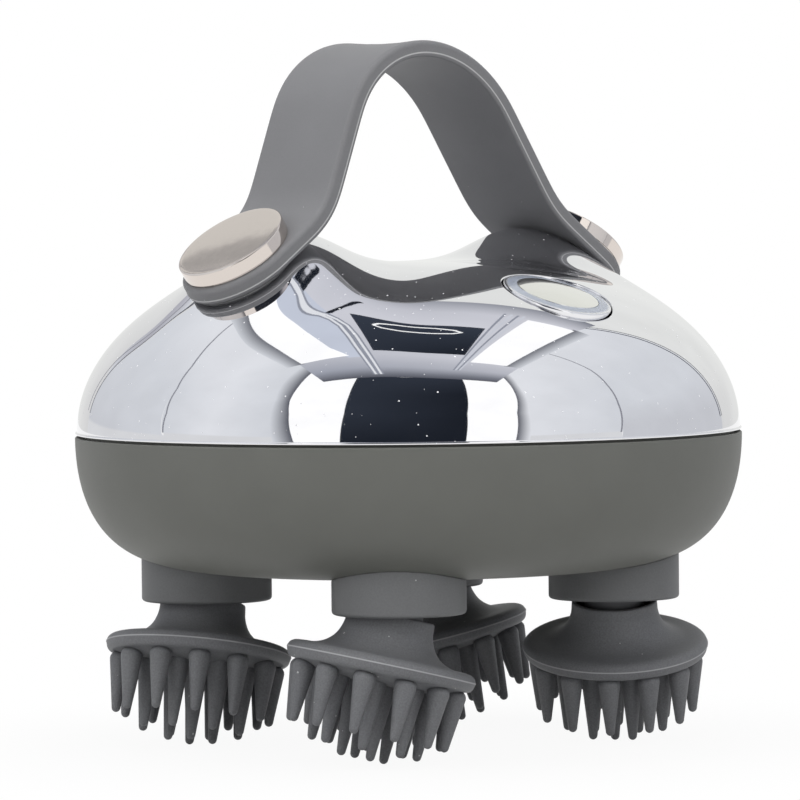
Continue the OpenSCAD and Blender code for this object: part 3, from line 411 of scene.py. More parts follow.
def hornRise(x, y):
    f = domeForm
    out = abs(x) - f["flareFrom"]
    reach = f["hornWidth"] + f["hornFlare"] * (out + np.sqrt(out ** 2 + f["flareSoft"] ** 2)) / 2
    along = np.exp(-((x - f["hornX"]) / f["hornLength"]) ** 2) + np.exp(-((x + f["hornX"]) / f["hornLength"]) ** 2)
    return f["hornHeight"] * along * np.exp(-(y / reach) ** 2)


def seatDip(x, y):
    # how far the skin lies below the plain dome about a strap seat, less the swell that meets the strap
    f = domeForm
    reach = ((abs(x) - f["swellX"]) / f["swellSquash"]) ** 2 + y * y
    return (f["dip"] * np.exp(-((abs(x) - f["dipX"]) ** 2 + y * y) / f["dipRadius"] ** 2)
            - f["swell"] * np.exp(-(reach / f["swellRadius"] ** 2) ** 2))


def domeRise(x, y, depth=0.0):
    part = np.minimum(1, np.hypot(x, y) / (domeForm["rim"] - depth))
    return np.sqrt(np.maximum(0, 1 - part ** domeForm["fullness"]))


def domeHeight(x, y, depth=0.0, hornPart=1.0):
    rise = domeRise(x, y, depth)
    horn = hornPart * hornRise(x, y) * np.minimum(1, rise * domeForm["hornFade"])
    return (domeForm["height"] - depth) * rise + horn - seatDip(x, y) * rise


def domeNormal(co):
    x, y = co[:, 0], co[:, 1]
    r = np.maximum(np.hypot(x, y), 1e-6)
    part = np.minimum(1, r / domeForm["rim"])
    rise = domeRise(x, y)
    steep = -domeForm["fullness"] / 2 * part ** (domeForm["fullness"] - 1) / domeForm["rim"]
    h = 0.05
    horn, dip = hornRise(x, y), seatDip(x, y)
    fade = domeForm["hornFade"]
    blend = np.minimum(1, rise * fade)
    slopes = []
    for dx, dy, share in ((h, 0, x / r), (0, h, y / r)):
        hornSlope = (hornRise(x + dx, y + dy) - hornRise(x - dx, y - dy)) / (2 * h)
        dipSlope = (seatDip(x + dx, y + dy) - seatDip(x - dx, y - dy)) / (2 * h)
        g = steep * share
        slopes.append((domeForm["height"] - dip) * g + rise * blend * hornSlope
                      + np.where(rise < 1 / fade, fade * horn * g, 0) - rise * rise * dipSlope)
    normal = np.stack([-slopes[0], -slopes[1], rise], 1)
    return normal / np.linalg.norm(normal, axis=1)[:, None]


def onDome(co):
    x, y, z = co.T
    normal = domeNormal(co)
    r = np.hypot(x, y)
    near = abs(z - domeHeight(x, y)) * np.maximum(normal[:, 2], 0.02) < 0.03
    return near & (z > -0.01) & (r < domeForm["rim"] + 0.02) | (abs(z) < 0.01) & (abs(r - domeForm["rim"]) < 0.02)


def domeShell():
    f = domeForm
    outside, within = (0.0, 1.0), (f["wall"], f["insideHorns"])         # depth, share of the horns
    rows = [(90 * (k / f["rings"]) ** f["rowPower"], *outside) for k in range(1, f["rings"] + 1)]
    rows += [(90 * (k / f["innerRings"]), *within) for k in range(f["innerRings"], 0, -1)]
    n, points = f["sectors"], []
    t = np.arange(n) * 2 * math.pi / n
    for a, depth, hornPart in rows:
        r = (f["rim"] - depth) * math.sin(math.radians(a)) ** (2 / f["fullness"])
        x, y = r * np.cos(t), r * np.sin(t)
        z = domeHeight(x, y, depth, hornPart) if a < 90 else 0 * x
        points += list(np.stack([x, y, z + seamZ], 1))
    faces = gridFaces(len(rows), n)
    for row, (depth, hornPart) in ((0, outside), (len(rows) - 1, within)):
        points.append((0, 0, seamZ + float(domeHeight(0.0, 0.0, depth, hornPart))))
        faces += [[row * n + s, row * n + (s + 1) % n, len(points) - 1] for s in range(n)]
    return meshPiece("chromeHousing", points, faces, finishes["chrome_shell"], 30)


def seatPlace(side):
    s = seatForm
    return Matrix.Translation((side * s["x"], 0, seamZ + s["z"])) @ Matrix.Rotation(math.radians(side * s["tilt"]), 4, "Y")


buttonPlace = (Matrix.Translation((0, -buttonForm["y"], seamZ + buttonForm["z"]))
               @ Matrix.Rotation(math.radians(buttonForm["tilt"]), 4, "X"))


def onButtonLine(radius, steps):
    # points of the dome's skin above a circle of that radius about the button's axis, in the button's frame
    a = np.arange(steps) * 2 * math.pi / steps
    x, y = radius * np.cos(a), radius * np.sin(a)
    low, high = np.full(steps, -8.0), np.full(steps, 8.0)
    m = np.array(buttonPlace)
    for _ in range(40):
        mid = (low + high) / 2
        world = m[:3, :3] @ np.stack([x, y, mid]) + m[:3, 3:4]
        above = world[2] - seamZ > domeHeight(world[0], world[1])
        high, low = np.where(above, mid, high), np.where(above, low, mid)
    return np.stack([x, y, (low + high) / 2], 1)


def buttonHoleRim():
    # the rounded edge of the button's hole, its wall and the ledge under the gasket
    f = buttonForm
    outer, corner = onButtonLine(f["hole"] + f["lip"], f["sides"]), onButtonLine(f["hole"], f["sides"])
    wall = corner - np.array([0, 0, f["lip"]])
    rows = [outer * (1 - t) ** 2 + corner * (2 * t * (1 - t)) + wall * t ** 2 for t in (0, .14, .28, .42, .56, .7, .85, 1)]
    under = outer - np.array([0, 0, f["holeUnder"]])
    foot = corner * np.array([1, 1, 0]) - np.array([0, 0, f["ledge"]])
    rows += [foot, foot * np.array([f["footOut"], f["footOut"], 1]),
             under * np.array([f["underOut"], f["underOut"], 1]), under]
    return [buttonPlace @ Vector(p) for row in rows for p in row], gridFaces(len(rows), f["sides"], True)


def upperHousing():
    f, b, s, chrome = domeForm, buttonForm, seatForm, finishes["chrome_shell"]
    housing = domeShell()
    cutters = [roundCutter(b["hole"] + b["lip"], 12, -12, b["sides"], buttonPlace, chrome)]
    cutters += [roundCutter(s["pocket"], 14, s["deep"], s["sides"], seatPlace(side), chrome) for side in sides.values()]
    cutAway(housing, cutters)
    skinNormals(housing, onDome, domeNormal)
    trim, out, low = [buttonHoleRim()], s["pocket"] + 0.2, s["deep"] - 0.6
    for side in sides.values():         # flat seat in the pocket under each washer
        trim.append(latheData([(0, 0), (out, 0), (out, low), (0, low)], s["sides"], place=seatPlace(side)))
    bead = f["lipBead"]
    trim.append(latheData([(f["rim"] - 0.02 + bead * math.cos(a), 0.22 + seamZ + bead * math.sin(a))
                           for a in np.linspace(0, 2 * math.pi, 17)[:-1]], f["sectors"], True))
    dress(housing, "body", "upper_housing")
    dress(meshPiece("chromeHousingTrim", *joined(*trim), chrome), "body", "upper_housing")
    print("upper housing:", len(housing.data.polygons), "faces")


upperHousing()


# lower housing: a shallow bowl

bowlForm = {"rim": 60.0, "depth": 25.0, "side": 6.9, "bottom": 2.2, "wall": 2.2, "gap": 0.45, "edge": 0.3,
            "tongue": 58.75, "tongueUp": 1.5, "rings": 110, "sectors": 240}
hubForm = {"bush": 8.8, "stub": 10.3, "stubTop": -22.0, "stubEnd": -26.6, "cut": -24.0}
portForm = {"y": 57.99, "z": -6.0, "width": 15.0, "height": 8.0, "mouthWidth": 9.4, "mouthHeight": 3.6}
screwForm = {"circle": 46.0, "angles": (12, 102), "hole": 3.1, "wall": 1.5, "clearance": 1.7,
             "seat": -19.0, "seatThick": 2.0, "top": -22.0, "bottom": -24.0, "cut": -25.0}
hubs = {name: Vector(joints["output_" + name + "_spin"]["pos_m"]) / mm for name in headNames}


def bowlHeight(r):
    f = bowlForm
    return -f["depth"] * np.maximum(0, 1 - np.minimum(1, r / f["rim"]) ** f["side"]) ** (1 / f["bottom"])


def bowlLine(rim, depth, top, steps):
    f = bowlForm
    line = []
    for k in range(steps + 1):
        a = math.pi / 2 * (1 - (1 - k / steps) ** 2.2)
        r, z = rim * math.cos(a) ** (2 / f["side"]), -depth * math.sin(a) ** (2 / f["bottom"])
        if z <= top and r > 0.5:
            line.append((r, z + seamZ))
    return line + [(0, seamZ - depth)]


def bowlNormal(co):
    f = bowlForm
    r = np.maximum(np.hypot(co[:, 0], co[:, 1]), 1e-6)
    out = f["side"] / f["rim"] * np.minimum(1, r / f["rim"]) ** (f["side"] - 1)
    down = f["bottom"] / f["depth"] * np.clip(-co[:, 2] / f["depth"], 0, 1) ** (f["bottom"] - 1)
    normal = np.stack([out * co[:, 0] / r, out * co[:, 1] / r, -down], 1)
    return normal / np.linalg.norm(normal, axis=1)[:, None]


def onBowl(co):
    f = bowlForm
    r = np.hypot(co[:, 0], co[:, 1])
    level = (r / f["rim"]) ** f["side"] + np.clip(-co[:, 2] / f["depth"], 0, None) ** f["bottom"]
    return (abs(level - 1) < 0.006) & (co[:, 2] < -f["gap"] - f["edge"] * 0.9)


def bowlBack(x, z):
    # how far back (+Y) the bowl's outside lies at x and z
    f = bowlForm
    r = f["rim"] * max(0, 1 - (abs(seamZ - z) / f["depth"]) ** f["bottom"]) ** (1 / f["side"])
    return math.sqrt(r * r - x * x)


def stadium(width, height, y, z, grow=0.0):
    # a slot's outline with round ends, at y and at z above the seam
    r = height / 2 + grow
    half = width / 2 - height / 2
    outline = [(half + r * math.sin(a), r * math.cos(a)) for a in np.linspace(0, math.pi, 13)]
    return [(x, y, seamZ + z + q) for x, q in outline + [(-x, -q) for x, q in outline]]


def spot(x, y, z=0.0):
    return Matrix.Translation((x, y, seamZ + z))


def screwSpot(angle, z=0.0):
    a = math.radians(angle)
    return spot(screwForm["circle"] * math.cos(a), screwForm["circle"] * math.sin(a), z)


def bowlShell():
    f = bowlForm
    edgeLine = rounded([(f["tongue"], seamZ - f["gap"], 0), (f["rim"] - 0.01, seamZ - f["gap"], f["edge"]),
                        (f["rim"], seamZ - f["gap"] - 1.2, 0)], 5)
    outerLine = edgeLine[:-1] + bowlLine(f["rim"], f["depth"], -f["gap"] - f["edge"] * 1.1, f["rings"])
    innerLine = [(0, seamZ - f["depth"] + f["wall"])]
    innerLine += bowlLine(f["rim"] - f["wall"], f["depth"] - f["wall"], -0.5, 30)[-2::-1]
    innerLine += [(f["rim"] - f["wall"], seamZ + f["tongueUp"]), (f["tongue"], seamZ + f["tongueUp"])]
    return lathePiece("bowlHousing", innerLine + outerLine, finishes["grey_shell"], f["sectors"], sharp=35)


def portPocket():
    # the port's walls, its floor and the mouth of the socket
    p = portForm
    wide, slot = (p["width"] + 0.2, p["height"] + 0.2), (p["width"], p["height"])
    mouth = (p["mouthWidth"], p["mouthHeight"])
    back, points = p["y"] - 1.4, []
    for size, y in ((wide, None), (wide, back), (mouth, back), (mouth, p["y"]), (slot, p["y"]), (slot, None)):
        points += [(x, bowlBack(x, z) - 0.03 if y is None else y, z) for x, _, z in stadium(*size, 0, p["z"])]
    return points, gridFaces(6, len(points) // 6, True)


def lowerHousing():
    h, s, p, grey = hubForm, screwForm, portForm, finishes["grey_shell"]
    bowl = bowlShell()
    cutters = [roundCutter(h["bush"] + 0.02, 6, -6, 96, spot(hubs[name].x, hubs[name].y, h["cut"]), grey)
               for name in headNames]
    cutters += [roundCutter(s["hole"], 8, -8, 48, screwSpot(angle, s["cut"]), grey) for angle in s["angles"]]
    cutters.append(meshPiece("cutter", *tube(*(stadium(p["width"], p["height"], y, p["z"])
                                               for y in (p["y"] - 1.5, p["y"] + 6))), grey))
    cutAway(bowl, cutters)
    skinNormals(bowl, onBowl, bowlNormal)
    stubLine = rounded([(h["bush"], h["stubTop"], 0), (h["stub"], h["stubTop"], 0), (h["stub"], h["stubEnd"], 0.3),
                        (h["bush"], h["stubEnd"], 0.3), (h["bush"], h["stubTop"] - 0.4, 0)])
    out, step = s["hole"] + s["wall"], s["seat"] + s["seatThick"]
    screwLine = [(s["hole"], s["bottom"]), (out, s["top"]), (out, step), (s["clearance"], step),
                 (s["clearance"], s["seat"]), (s["hole"], s["seat"])]
    inside = [latheData(stubLine, 96, True, spot(hubs[name].x, hubs[name].y)) for name in headNames]
    inside += [latheData(screwLine, 48, True, screwSpot(angle)) for angle in s["angles"]]
    details = meshPiece("bowlHubs", *joined(*inside, portPocket()), grey)
    dress(bowl, "body", "lower_housing")
    dress(details, "body", "lower_housing")
    print("lower housing:", len(bowl.data.polygons), "faces")


lowerHousing()


# port plug: fills the port flush, with a tongue into the socket

plugForm = {"width": 14.7, "height": 7.7, "round": 0.4, "inset": 0.1, "flank": 0.8,
            "tongueWidth": 8.1, "tongueHeight": 2.3, "tongue": 5.0}


def portPlug():
    f, p = plugForm, portForm
    faceY = p["y"] + 0.05
    sections = [stadium(f["width"], f["height"], y, p["z"]) for y in (faceY, faceY + f["flank"])]
    for k in range(5):      # the outer face follows the bowl, with a rounded edge
        a = k / 4 * math.pi / 2
        sections.append([(x, bowlBack(x, z) - f["inset"] - f["round"] * (1 - math.sin(a)), z) for x, _, z in
                         stadium(f["width"], f["height"], 0, p["z"], -f["round"] * (1 - math.cos(a)))])
    last = sections[-1]
    for share in (0.66, 0.33):
        ring = [(x * share, seamZ + p["z"] + (z - seamZ - p["z"]) * share) for x, _, z in last]
        sections.append([(x, bowlBack(x, z) - f["inset"], z) for x, z in ring])
    tongue = tube(*(stadium(f["tongueWidth"], f["tongueHeight"], y, p["z"])
                    for y in (p["y"] - f["tongue"], faceY + 0.2)))
    return meshPiece("portPlug", *joined(tube(*sections), tongue), finishes["boot_silicone"])


dress(portPlug(), "plug", "port_plug")
print("port plug done")


# button: satin disc in a frosted light ring

def leanTop(data):
    # the face stands proud on the side towards the camera; what lies below it stays upright
    points, faces = data
    turn, slope, leant = math.radians(buttonForm["leanWay"]), math.tan(math.radians(buttonForm["lean"])), []
    for x, y, z in points:
        if z > buttonForm["leanFrom"]:
            z += buttonForm["proud"] - slope * (math.cos(turn) * y - math.sin(turn) * x)
        leant.append(buttonPlace @ Vector((x, y, z)))
    return leant, faces


def crownLine(r):
    # how far the ring's crowned face lies below its middle
    return math.sqrt(buttonForm["crown"] ** 2 - r * r) - buttonForm["crown"]


def discTop(r):
    f = buttonForm
    middle = math.sqrt(f["discCrown"] ** 2 - r * r)
    return middle - math.sqrt(f["discCrown"] ** 2 - f["discOut"] ** 2) + crownLine(f["discOut"])


def button():
    f = buttonForm
    low, bore, gap = -f["discDeep"], f["ringIn"] + 0.03, f["stem"] + 0.05
    discLine = [(r, discTop(r), 0) for r in (0, 1.2, 2.4, 3.6, 4.8, 6)]
    discLine += [(f["discOut"], crownLine(f["discOut"]), 0.14), (f["discOut"], low, 0), (f["stem"], low, 0),
                 (f["stem"], f["stemEnd"], 0.2), (0, f["stemEnd"], 0)]
    ringLine = [(bore, low, 0), (bore, crownLine(f["ringIn"]), 0.1), (f["ringOut"] - 0.8, crownLine(f["ringOut"] - 0.8), 0),
                (f["ringOut"], crownLine(f["ringOut"]), 0.36), (f["ringOut"], -f["ringDeep"], 0), (gap, -f["ringDeep"], 0),
                (gap, low - 0.02, 0)]
    disc = meshPiece("touchDisc", *leanTop(latheData(rounded(discLine), 128)), finishes["touch_metal"])
    ring = meshPiece("lightRing", *leanTop(latheData(rounded(ringLine), 128, True)), finishes["light_diffuser"])
    axis = buttonPlace.inverted()
    markLine(ring, lambda c: (axis @ c).xy.length > f["plated"], "plated")
    dress(weightNormals(disc), "button", "button_disc")
    dress(weightNormals(ring), "button", "light_ring")
    print("button done")


button()


# strap: a silicone band over an arch, with half-round ends under the caps

strapForm = {"width": 22.0, "thick": 3.0, "top": 70.0, "archRadius": 22.0, "bendRadius": 15.0, "lean": 4.6,
             "leanFrom": 6.0, "footX": 40.0, "footZ": 32.3, "footTilt": 35.4, "footFlat": 10.2,
             "outerRound": 1.05, "innerRound": 0.55,
             "ridge": (2.25, 0.17, 0.07, 0.06), "step": 0.7, "softening": 14, "hollow": 0.45, "hollowFrom": 48.0,
             "hollowOver": 18.0, "turns": 24}


def strapLine():
    # the outer face from the right post to the left post, as (x, z) above the seam; flat under the cap, then
    # a bend, a straight leg that touches bend and arch, and the arch
    f = strapForm
    tilt, archZ = math.radians(f["footTilt"]), f["top"] - f["archRadius"]
    start = np.array([f["footX"], f["footZ"]]) + f["footFlat"] * np.array([-math.cos(tilt), math.sin(tilt)])
    centre = start + f["bendRadius"] * np.array([math.sin(tilt), math.cos(tilt)])
    across, up = centre - np.array([0, archZ])
    leg = math.atan2(across, up) - math.acos((f["archRadius"] + f["bendRadius"]) / math.hypot(across, up))
    half = [np.array([f["footX"], f["footZ"]]), (np.array([f["footX"], f["footZ"]]) + start) / 2]
    half += [centre - f["bendRadius"] * np.array([math.sin(a), math.cos(a)]) for a in np.linspace(tilt, leg, 12)]
    half += [np.array([f["archRadius"] * math.sin(a), archZ + f["archRadius"] * math.cos(a)])
             for a in np.linspace(leg, 0, 30)]
    path = np.array(half + [p * np.array([-1, 1]) for p in half[-2::-1]])
    path[:, 0] -= f["lean"] * np.maximum(0, (path[:, 1] - f["footZ"] - f["leanFrom"])
                                         / (f["top"] - f["footZ"] - f["leanFrom"]))
    length = np.concatenate([[0], np.cumsum(np.linalg.norm(np.diff(path, axis=0), axis=1))])
    s = np.linspace(0, length[-1], int(length[-1] / f["step"]))
    path = np.stack([np.interp(s, length, path[:, k]) for k in (0, 1)], 1)
    n = f["softening"]
    for _ in range(n):      # soften the bends, ends held
        path[n:-n] = (path[n - 1:-n - 1] + 2 * path[n:-n] + path[n + 1:1 - n]) / 4
    return path


def strapSection():
    # half of the cross-section, from the middle of the outer face round to the middle of the inner face
    f = strapForm
    w, t = f["width"] / 2, f["thick"]
    side = rounded([(0, 0, 0), (w * 0.5, 0, 0), (w, 0, f["outerRound"]), (w, t, f["innerRound"]),
                    (w * 0.5, t, 0), (0, t, 0)], 8)
    line = []
    for a, b in zip(side, side[1:]):
        line.append(a)
        if abs(a[0] - w) < 1e-6 and abs(b[0] - w) < 1e-6:
            line += ridge(w, *f["ridge"])
    return line + [side[-1]]


def strapBand():
    f, path, section = strapForm, strapLine(), strapSection()
    across = [(w, t) for w, t in section] + [(-w, t) for w, t in section[-2:0:-1]]
    tangent = np.gradient(path, axis=0)
    tangent /= np.linalg.norm(tangent, axis=1)[:, None]
    points = []
    for p, d in zip(path, tangent):
        share = np.clip((p[1] - f["hollowFrom"]) / f["hollowOver"], 0, 1)
        for w, t in across:         # the arch's edges stand a little higher than its middle
            t = t + f["hollow"] * share * (1 - min(1, abs(w) / (f["width"] / 2 - 0.5)) ** 2)
            points.append((p[0] - d[1] * t, w, seamZ + p[1] + d[0] * t))
    parts = [(points, gridFaces(len(path), len(across)))]
    for p, d, way in ((path[0], tangent[0], -1), (path[-1], tangent[-1], 1)):       # half-round ends
        points = []
        for s in range(f["turns"] + 1):
            a = math.pi * s / f["turns"] - math.pi / 2
            for w, t in section:
                e = way * w * math.cos(a)
                points.append((p[0] + d[0] * e - d[1] * t, w * math.sin(a), seamZ + p[1] + d[1] * e + d[0] * t))
        parts.append((points, gridFaces(f["turns"] + 1, len(section), ringColumns=False)))
    return joined(*parts)


def handStrap():
    piece = meshPiece("handStrap", *strapBand(), finishes["strap_silicone"], 60)
    feet = {side: seatPlace(side).inverted() for side in sides.values()}
    edge, thick = strapForm["width"] / 2 + onRidge, strapForm["thick"]

    def onLine(c):
        if abs(c.y) > edge:
            return True
        for side, foot in feet.items():
            q = foot @ c
            if q.x * side > -0.1 and abs(q.z - thick) < thick and math.hypot(q.x, q.y) > edge:
                return True
        return False

    markLine(piece, onLine)
    dress(weightNormals(piece), "body", "strap")


capForm = {"radius": 10.1, "height": 2.9, "bevel": 0.28, "lift": 4.5, "crown": 420.0, "inset": 0.12,
           "stem": 3.0, "stemEnd": -6.5}
washerForm = {"radius": 10.0, "bore": 3.1, "thick": 1.5, "round": 0.45,
              "ridge": ((0, 0.72), (0.05, 0.8), (0.05, 0.92), (0, 1.0))}


def strapCap(word, side):
    f = capForm

    def top(r):
        return f["height"] - r * r / (2 * f["crown"])

    line = [(r, top(r), 0) for r in (0, 3, 6, 8, f["radius"] - 1.0)]
    line += [(f["radius"], top(f["radius"]), f["bevel"]), (f["radius"], 0.35, 0.08),
             (f["radius"] - f["inset"], 0.3, 0.05), (f["radius"] - f["inset"], 0, f["inset"]), (f["stem"], 0, 0),
             (f["stem"], f["stemEnd"], 0), (0, f["stemEnd"], 0)]
    place = seatPlace(side) @ Matrix.Translation((0, 0, f["lift"]))
    cap = lathePiece("strapCap" + word.title(), rounded(line, 5), finishes["nickel"], 160, place=place, sharp=50)
    dress(weightNormals(cap), "body", "strap_cap_" + word)


def strapWasher(word, side):
    f, place = washerForm, seatPlace(side)
    line = [(f["bore"], 0, 0), (f["radius"], 0, f["round"])] + [(f["radius"] + out, z, 0) for out, z in f["ridge"]]
    line += [(f["radius"], f["thick"], f["round"]), (f["bore"], f["thick"], 0)]
    washer = lathePiece("strapWasher" + word.title(), rounded(line, 6), finishes["boot_silicone"], 128, True, place)
    seat = place.inverted()
    markLine(washer, lambda c: (seat @ c).xy.length > f["radius"] + onRidge)
    dress(washer, "body", "strap_washer_" + word)


handStrap()
for word, side in sides.items():
    strapCap(word, side)
    strapWasher(word, side)
print("strap and caps done")


# boots: silicone cuffs on the hubs, their tops drawn tight to the bowl

bootForm = {"radius": 11.75, "top": -26.0, "bottom": -30.4, "round": 2.4, "edge": 0.22, "lip": 10.15, "inner": 10.3,
            "step": -26.6, "steps": 128}


def boot(name):
    f, hub, points = bootForm, hubs[name], []
    below = rounded([(f["radius"], f["top"], 0), (f["radius"], f["bottom"], f["round"]), (f["lip"], f["bottom"], 0.25),
                     (f["lip"], f["step"], 0), (f["inner"], f["step"], 0)], 8)
    for s in range(f["steps"]):
        a = 2 * math.pi * s / f["steps"]
        c, d = math.cos(a), math.sin(a)

        def top(r):
            # just under the bowl's skin
            return float(bowlHeight(math.hypot(hub.x + r * c, hub.y + r * d))) - 0.02

        line = [(f["inner"], top(f["inner"]) + 0.6), (f["radius"] - 0.9, top(f["radius"] - 0.9) + 0.3)]
        for k in range(6):      # soft upper edge, with a fine groove against the bowl
            b = math.pi / 2 * k / 5
            line.append((f["radius"] - f["edge"] * (1 - math.sin(b)), top(f["radius"]) - f["edge"] * (1 - math.cos(b))))
        line += below
        points += [(hub.x + r * c, hub.y + r * d, seamZ + z) for r, z in line]
    faces = gridFaces(f["steps"], len(line), True)
    return meshPiece("boot" + name.title(), points, faces, finishes["boot_silicone"], 50)


for name in headNames:
    dress(boot(name), "body", "boot_" + name)
print("boots done")


# heads: a bell with three rings of prongs, and the core that carries it

bellForm = {"drop": 14.9, "rim": 16.7, "cup": 7.75, "cupUp": 8.7, "bore": 6.85, "floor": 3.0, "under": -1.8,
            "ridge": (0, -0.16, -0.07, 0.06)}
prongForm = {"rings": ((12, 13.8, 12.7, 0.0), (8, 9.3, 15.2, 22.5), (4, 4.0, 16.8, 0.0)),      # count, radius, reach, phase
             "root": 4.4, "tip": 1.6, "shoulder": 1.7, "sides": 20, "rows": 26}
clawTurn = {"front": -4, "left": 28.5, "right": -2, "rear": 0}


def headPlace(name):
    joint = joints["head_" + name + "_swing"]
    axis = Vector(joint["axis"])
    lean = math.atan2(-axis.y, -axis.x)
    tilt = math.acos(max(-1, min(1, axis.z)))
    place = Matrix.Translation(Vector(joint["pos_m"]) / mm)
    return place @ Matrix.Rotation(lean, 4, "Z") @ Matrix.Rotation(-tilt, 4, "Y")


def prongTree():
    # one ring of prongs under the bell, added to the mesh that comes in
    tree = bpy.data.node_groups.new("prongRing", "GeometryNodeTree")
    face = tree.interface
    face.new_socket("Geometry", in_out="INPUT", socket_type="NodeSocketGeometry")
    for label, kind in (("Count", "Int"), ("Ring Radius", "Float"), ("Length", "Float"), ("Phase", "Float"),
                        ("Root Radius", "Float"), ("Tip Radius", "Float"), ("Shoulder", "Float"),
                        ("Underside", "Float"), ("Material", "Material")):
        face.new_socket(label, in_out="INPUT", socket_type="NodeSocket" + kind)
    face.new_socket("Geometry", in_out="OUTPUT", socket_type="NodeSocketGeometry")
    given = addNode(tree, "NodeGroupInput").outputs

    line = addNode(tree, "GeometryNodeCurvePrimitiveLine", None, {"End": (0, 0, -1)})
    line = addNode(tree, "GeometryNodeResampleCurve", None, {"Curve": line.outputs["Curve"], "Count": prongForm["rows"]})
    values = {"along": addNode(tree, "GeometryNodeSplineParameter").outputs["Factor"]}
    values.update((socket.name, socket) for socket in given)
    for name, operation, *inputs in (        # the rows crowd at both ends
            ("angle", "MULTIPLY", "along", math.pi), ("cosine", "COSINE", "angle"), ("turned", "SUBTRACT", 1.0, "cosine"),
            ("down", "MULTIPLY", "turned", 0.5), ("depth", "MULTIPLY", "down", "Length"),
            ("fromTip", "SUBTRACT", "Length", "depth"),
            # the tip is a half ball
            ("inTip", "MINIMUM", "fromTip", "Tip Radius"), ("inBall", "SUBTRACT", "Tip Radius", "inTip"),
            ("tipSquare", "MULTIPLY", "Tip Radius", "Tip Radius"), ("ballSquare", "MULTIPLY", "inBall", "inBall"),
            ("ballRest", "SUBTRACT", "tipSquare", "ballSquare"), ("ballSafe", "MAXIMUM", "ballRest", 1e-10),
            ("ball", "SQRT", "ballSafe"),
            # above it the prong widens evenly
            ("above", "SUBTRACT", "fromTip", "Tip Radius"), ("onCone", "MAXIMUM", "above", 0.0),
            ("coneLength", "SUBTRACT", "Length", "Tip Radius"), ("conePart", "DIVIDE", "onCone", "coneLength"),
            ("widening", "SUBTRACT", "Root Radius", "Tip Radius"), ("cone", "MULTIPLY", "conePart", "widening"),
            # and its root has a rounded shoulder
            ("rootPart", "DIVIDE", "depth", "Shoulder"), ("rootRest", "SUBTRACT", 1.0, "rootPart"),
            ("left", "MAXIMUM", "rootRest", 0.0), ("leftSquare", "MULTIPLY", "left", "left"),
            ("rootRound", "SUBTRACT", 1.0, "leftSquare"), ("rootSafe", "MAXIMUM", "rootRound", 1e-4),
            ("shoulder", "SQRT", "rootSafe"), ("plain", "ADD", "ball", "cone"), ("radius", "MULTIPLY", "plain", "shoulder"),
            ("height", "MULTIPLY", "depth", -1.0)):
        step = addNode(tree, "ShaderNodeMath", {"operation": operation},
                       {k: values.get(v, v) for k, v in enumerate(inputs)})
        values[name] = step.outputs[0]
    offset = addNode(tree, "ShaderNodeCombineXYZ", None, {"Z": values["height"]}).outputs["Vector"]
    spread = addNode(tree, "GeometryNodeCaptureAttribute")
    spread.capture_items.new("FLOAT", "radius")
    spread.capture_items.new("VECTOR", "offset")
    tree.links.new(line.outputs["Curve"], spread.inputs["Geometry"])
    tree.links.new(values["radius"], spread.inputs["radius"])
    tree.links.new(offset, spread.inputs["offset"])
    placed = addNode(tree, "GeometryNodeSetPosition", None, {
        "Geometry": spread.outputs["Geometry"], "Position": spread.outputs["offset"]})
    circle = addNode(tree, "GeometryNodeCurvePrimitiveCircle", None, {"Resolution": prongForm["sides"], "Radius": 1.0})
    prong = addNode(tree, "GeometryNodeCurveToMesh", None, {
        "Curve": placed.outputs["Geometry"], "Profile Curve": circle.outputs["Curve"],
        "Scale": spread.outputs["radius"], "Fill Caps": True})
    ring = addNode(tree, "GeometryNodeMeshCircle", None, {"Vertices": given["Count"], "Radius": given["Ring Radius"]})
    turn = addNode(tree, "ShaderNodeCombineXYZ", None, {"Z": given["Phase"]})
    lift = addNode(tree, "ShaderNodeCombineXYZ", None, {"Z": given["Underside"]})
    ring = addNode(tree, "GeometryNodeTransform", None, {
        "Geometry": ring.outputs["Mesh"], "Translation": lift.outputs["Vector"], "Rotation": turn.outputs["Vector"]})
    copies = addNode(tree, "GeometryNodeInstanceOnPoints", None, {
        "Points": ring.outputs["Geometry"], "Instance": prong.outputs["Mesh"]})
    real = addNode(tree, "GeometryNodeRealizeInstances", None, {"Geometry": copies.outputs["Instances"]})
    smooth = addNode(tree, "GeometryNodeSetShadeSmooth", None, {"Geometry": real.outputs["Geometry"]})
    both = addNode(tree, "GeometryNodeJoinGeometry")
    tree.links.new(given["Geometry"], both.inputs["Geometry"])
    tree.links.new(smooth.outputs["Geometry"], both.inputs["Geometry"])
    painted = addNode(tree, "GeometryNodeSetMaterial", None, {
        "Geometry": both.outputs["Geometry"], "Material": given["Material"]})
    addNode(tree, "NodeGroupOutput", None, {"Geometry": painted.outputs["Geometry"]})
    return tree


def giveInputs(modifier, values):
    for item in modifier.node_group.interface.items_tree:
        if item.item_type == "SOCKET" and item.in_out == "INPUT" and item.name in values:
            modifier[item.identifier] = values[item.name]


ringTree = prongTree()


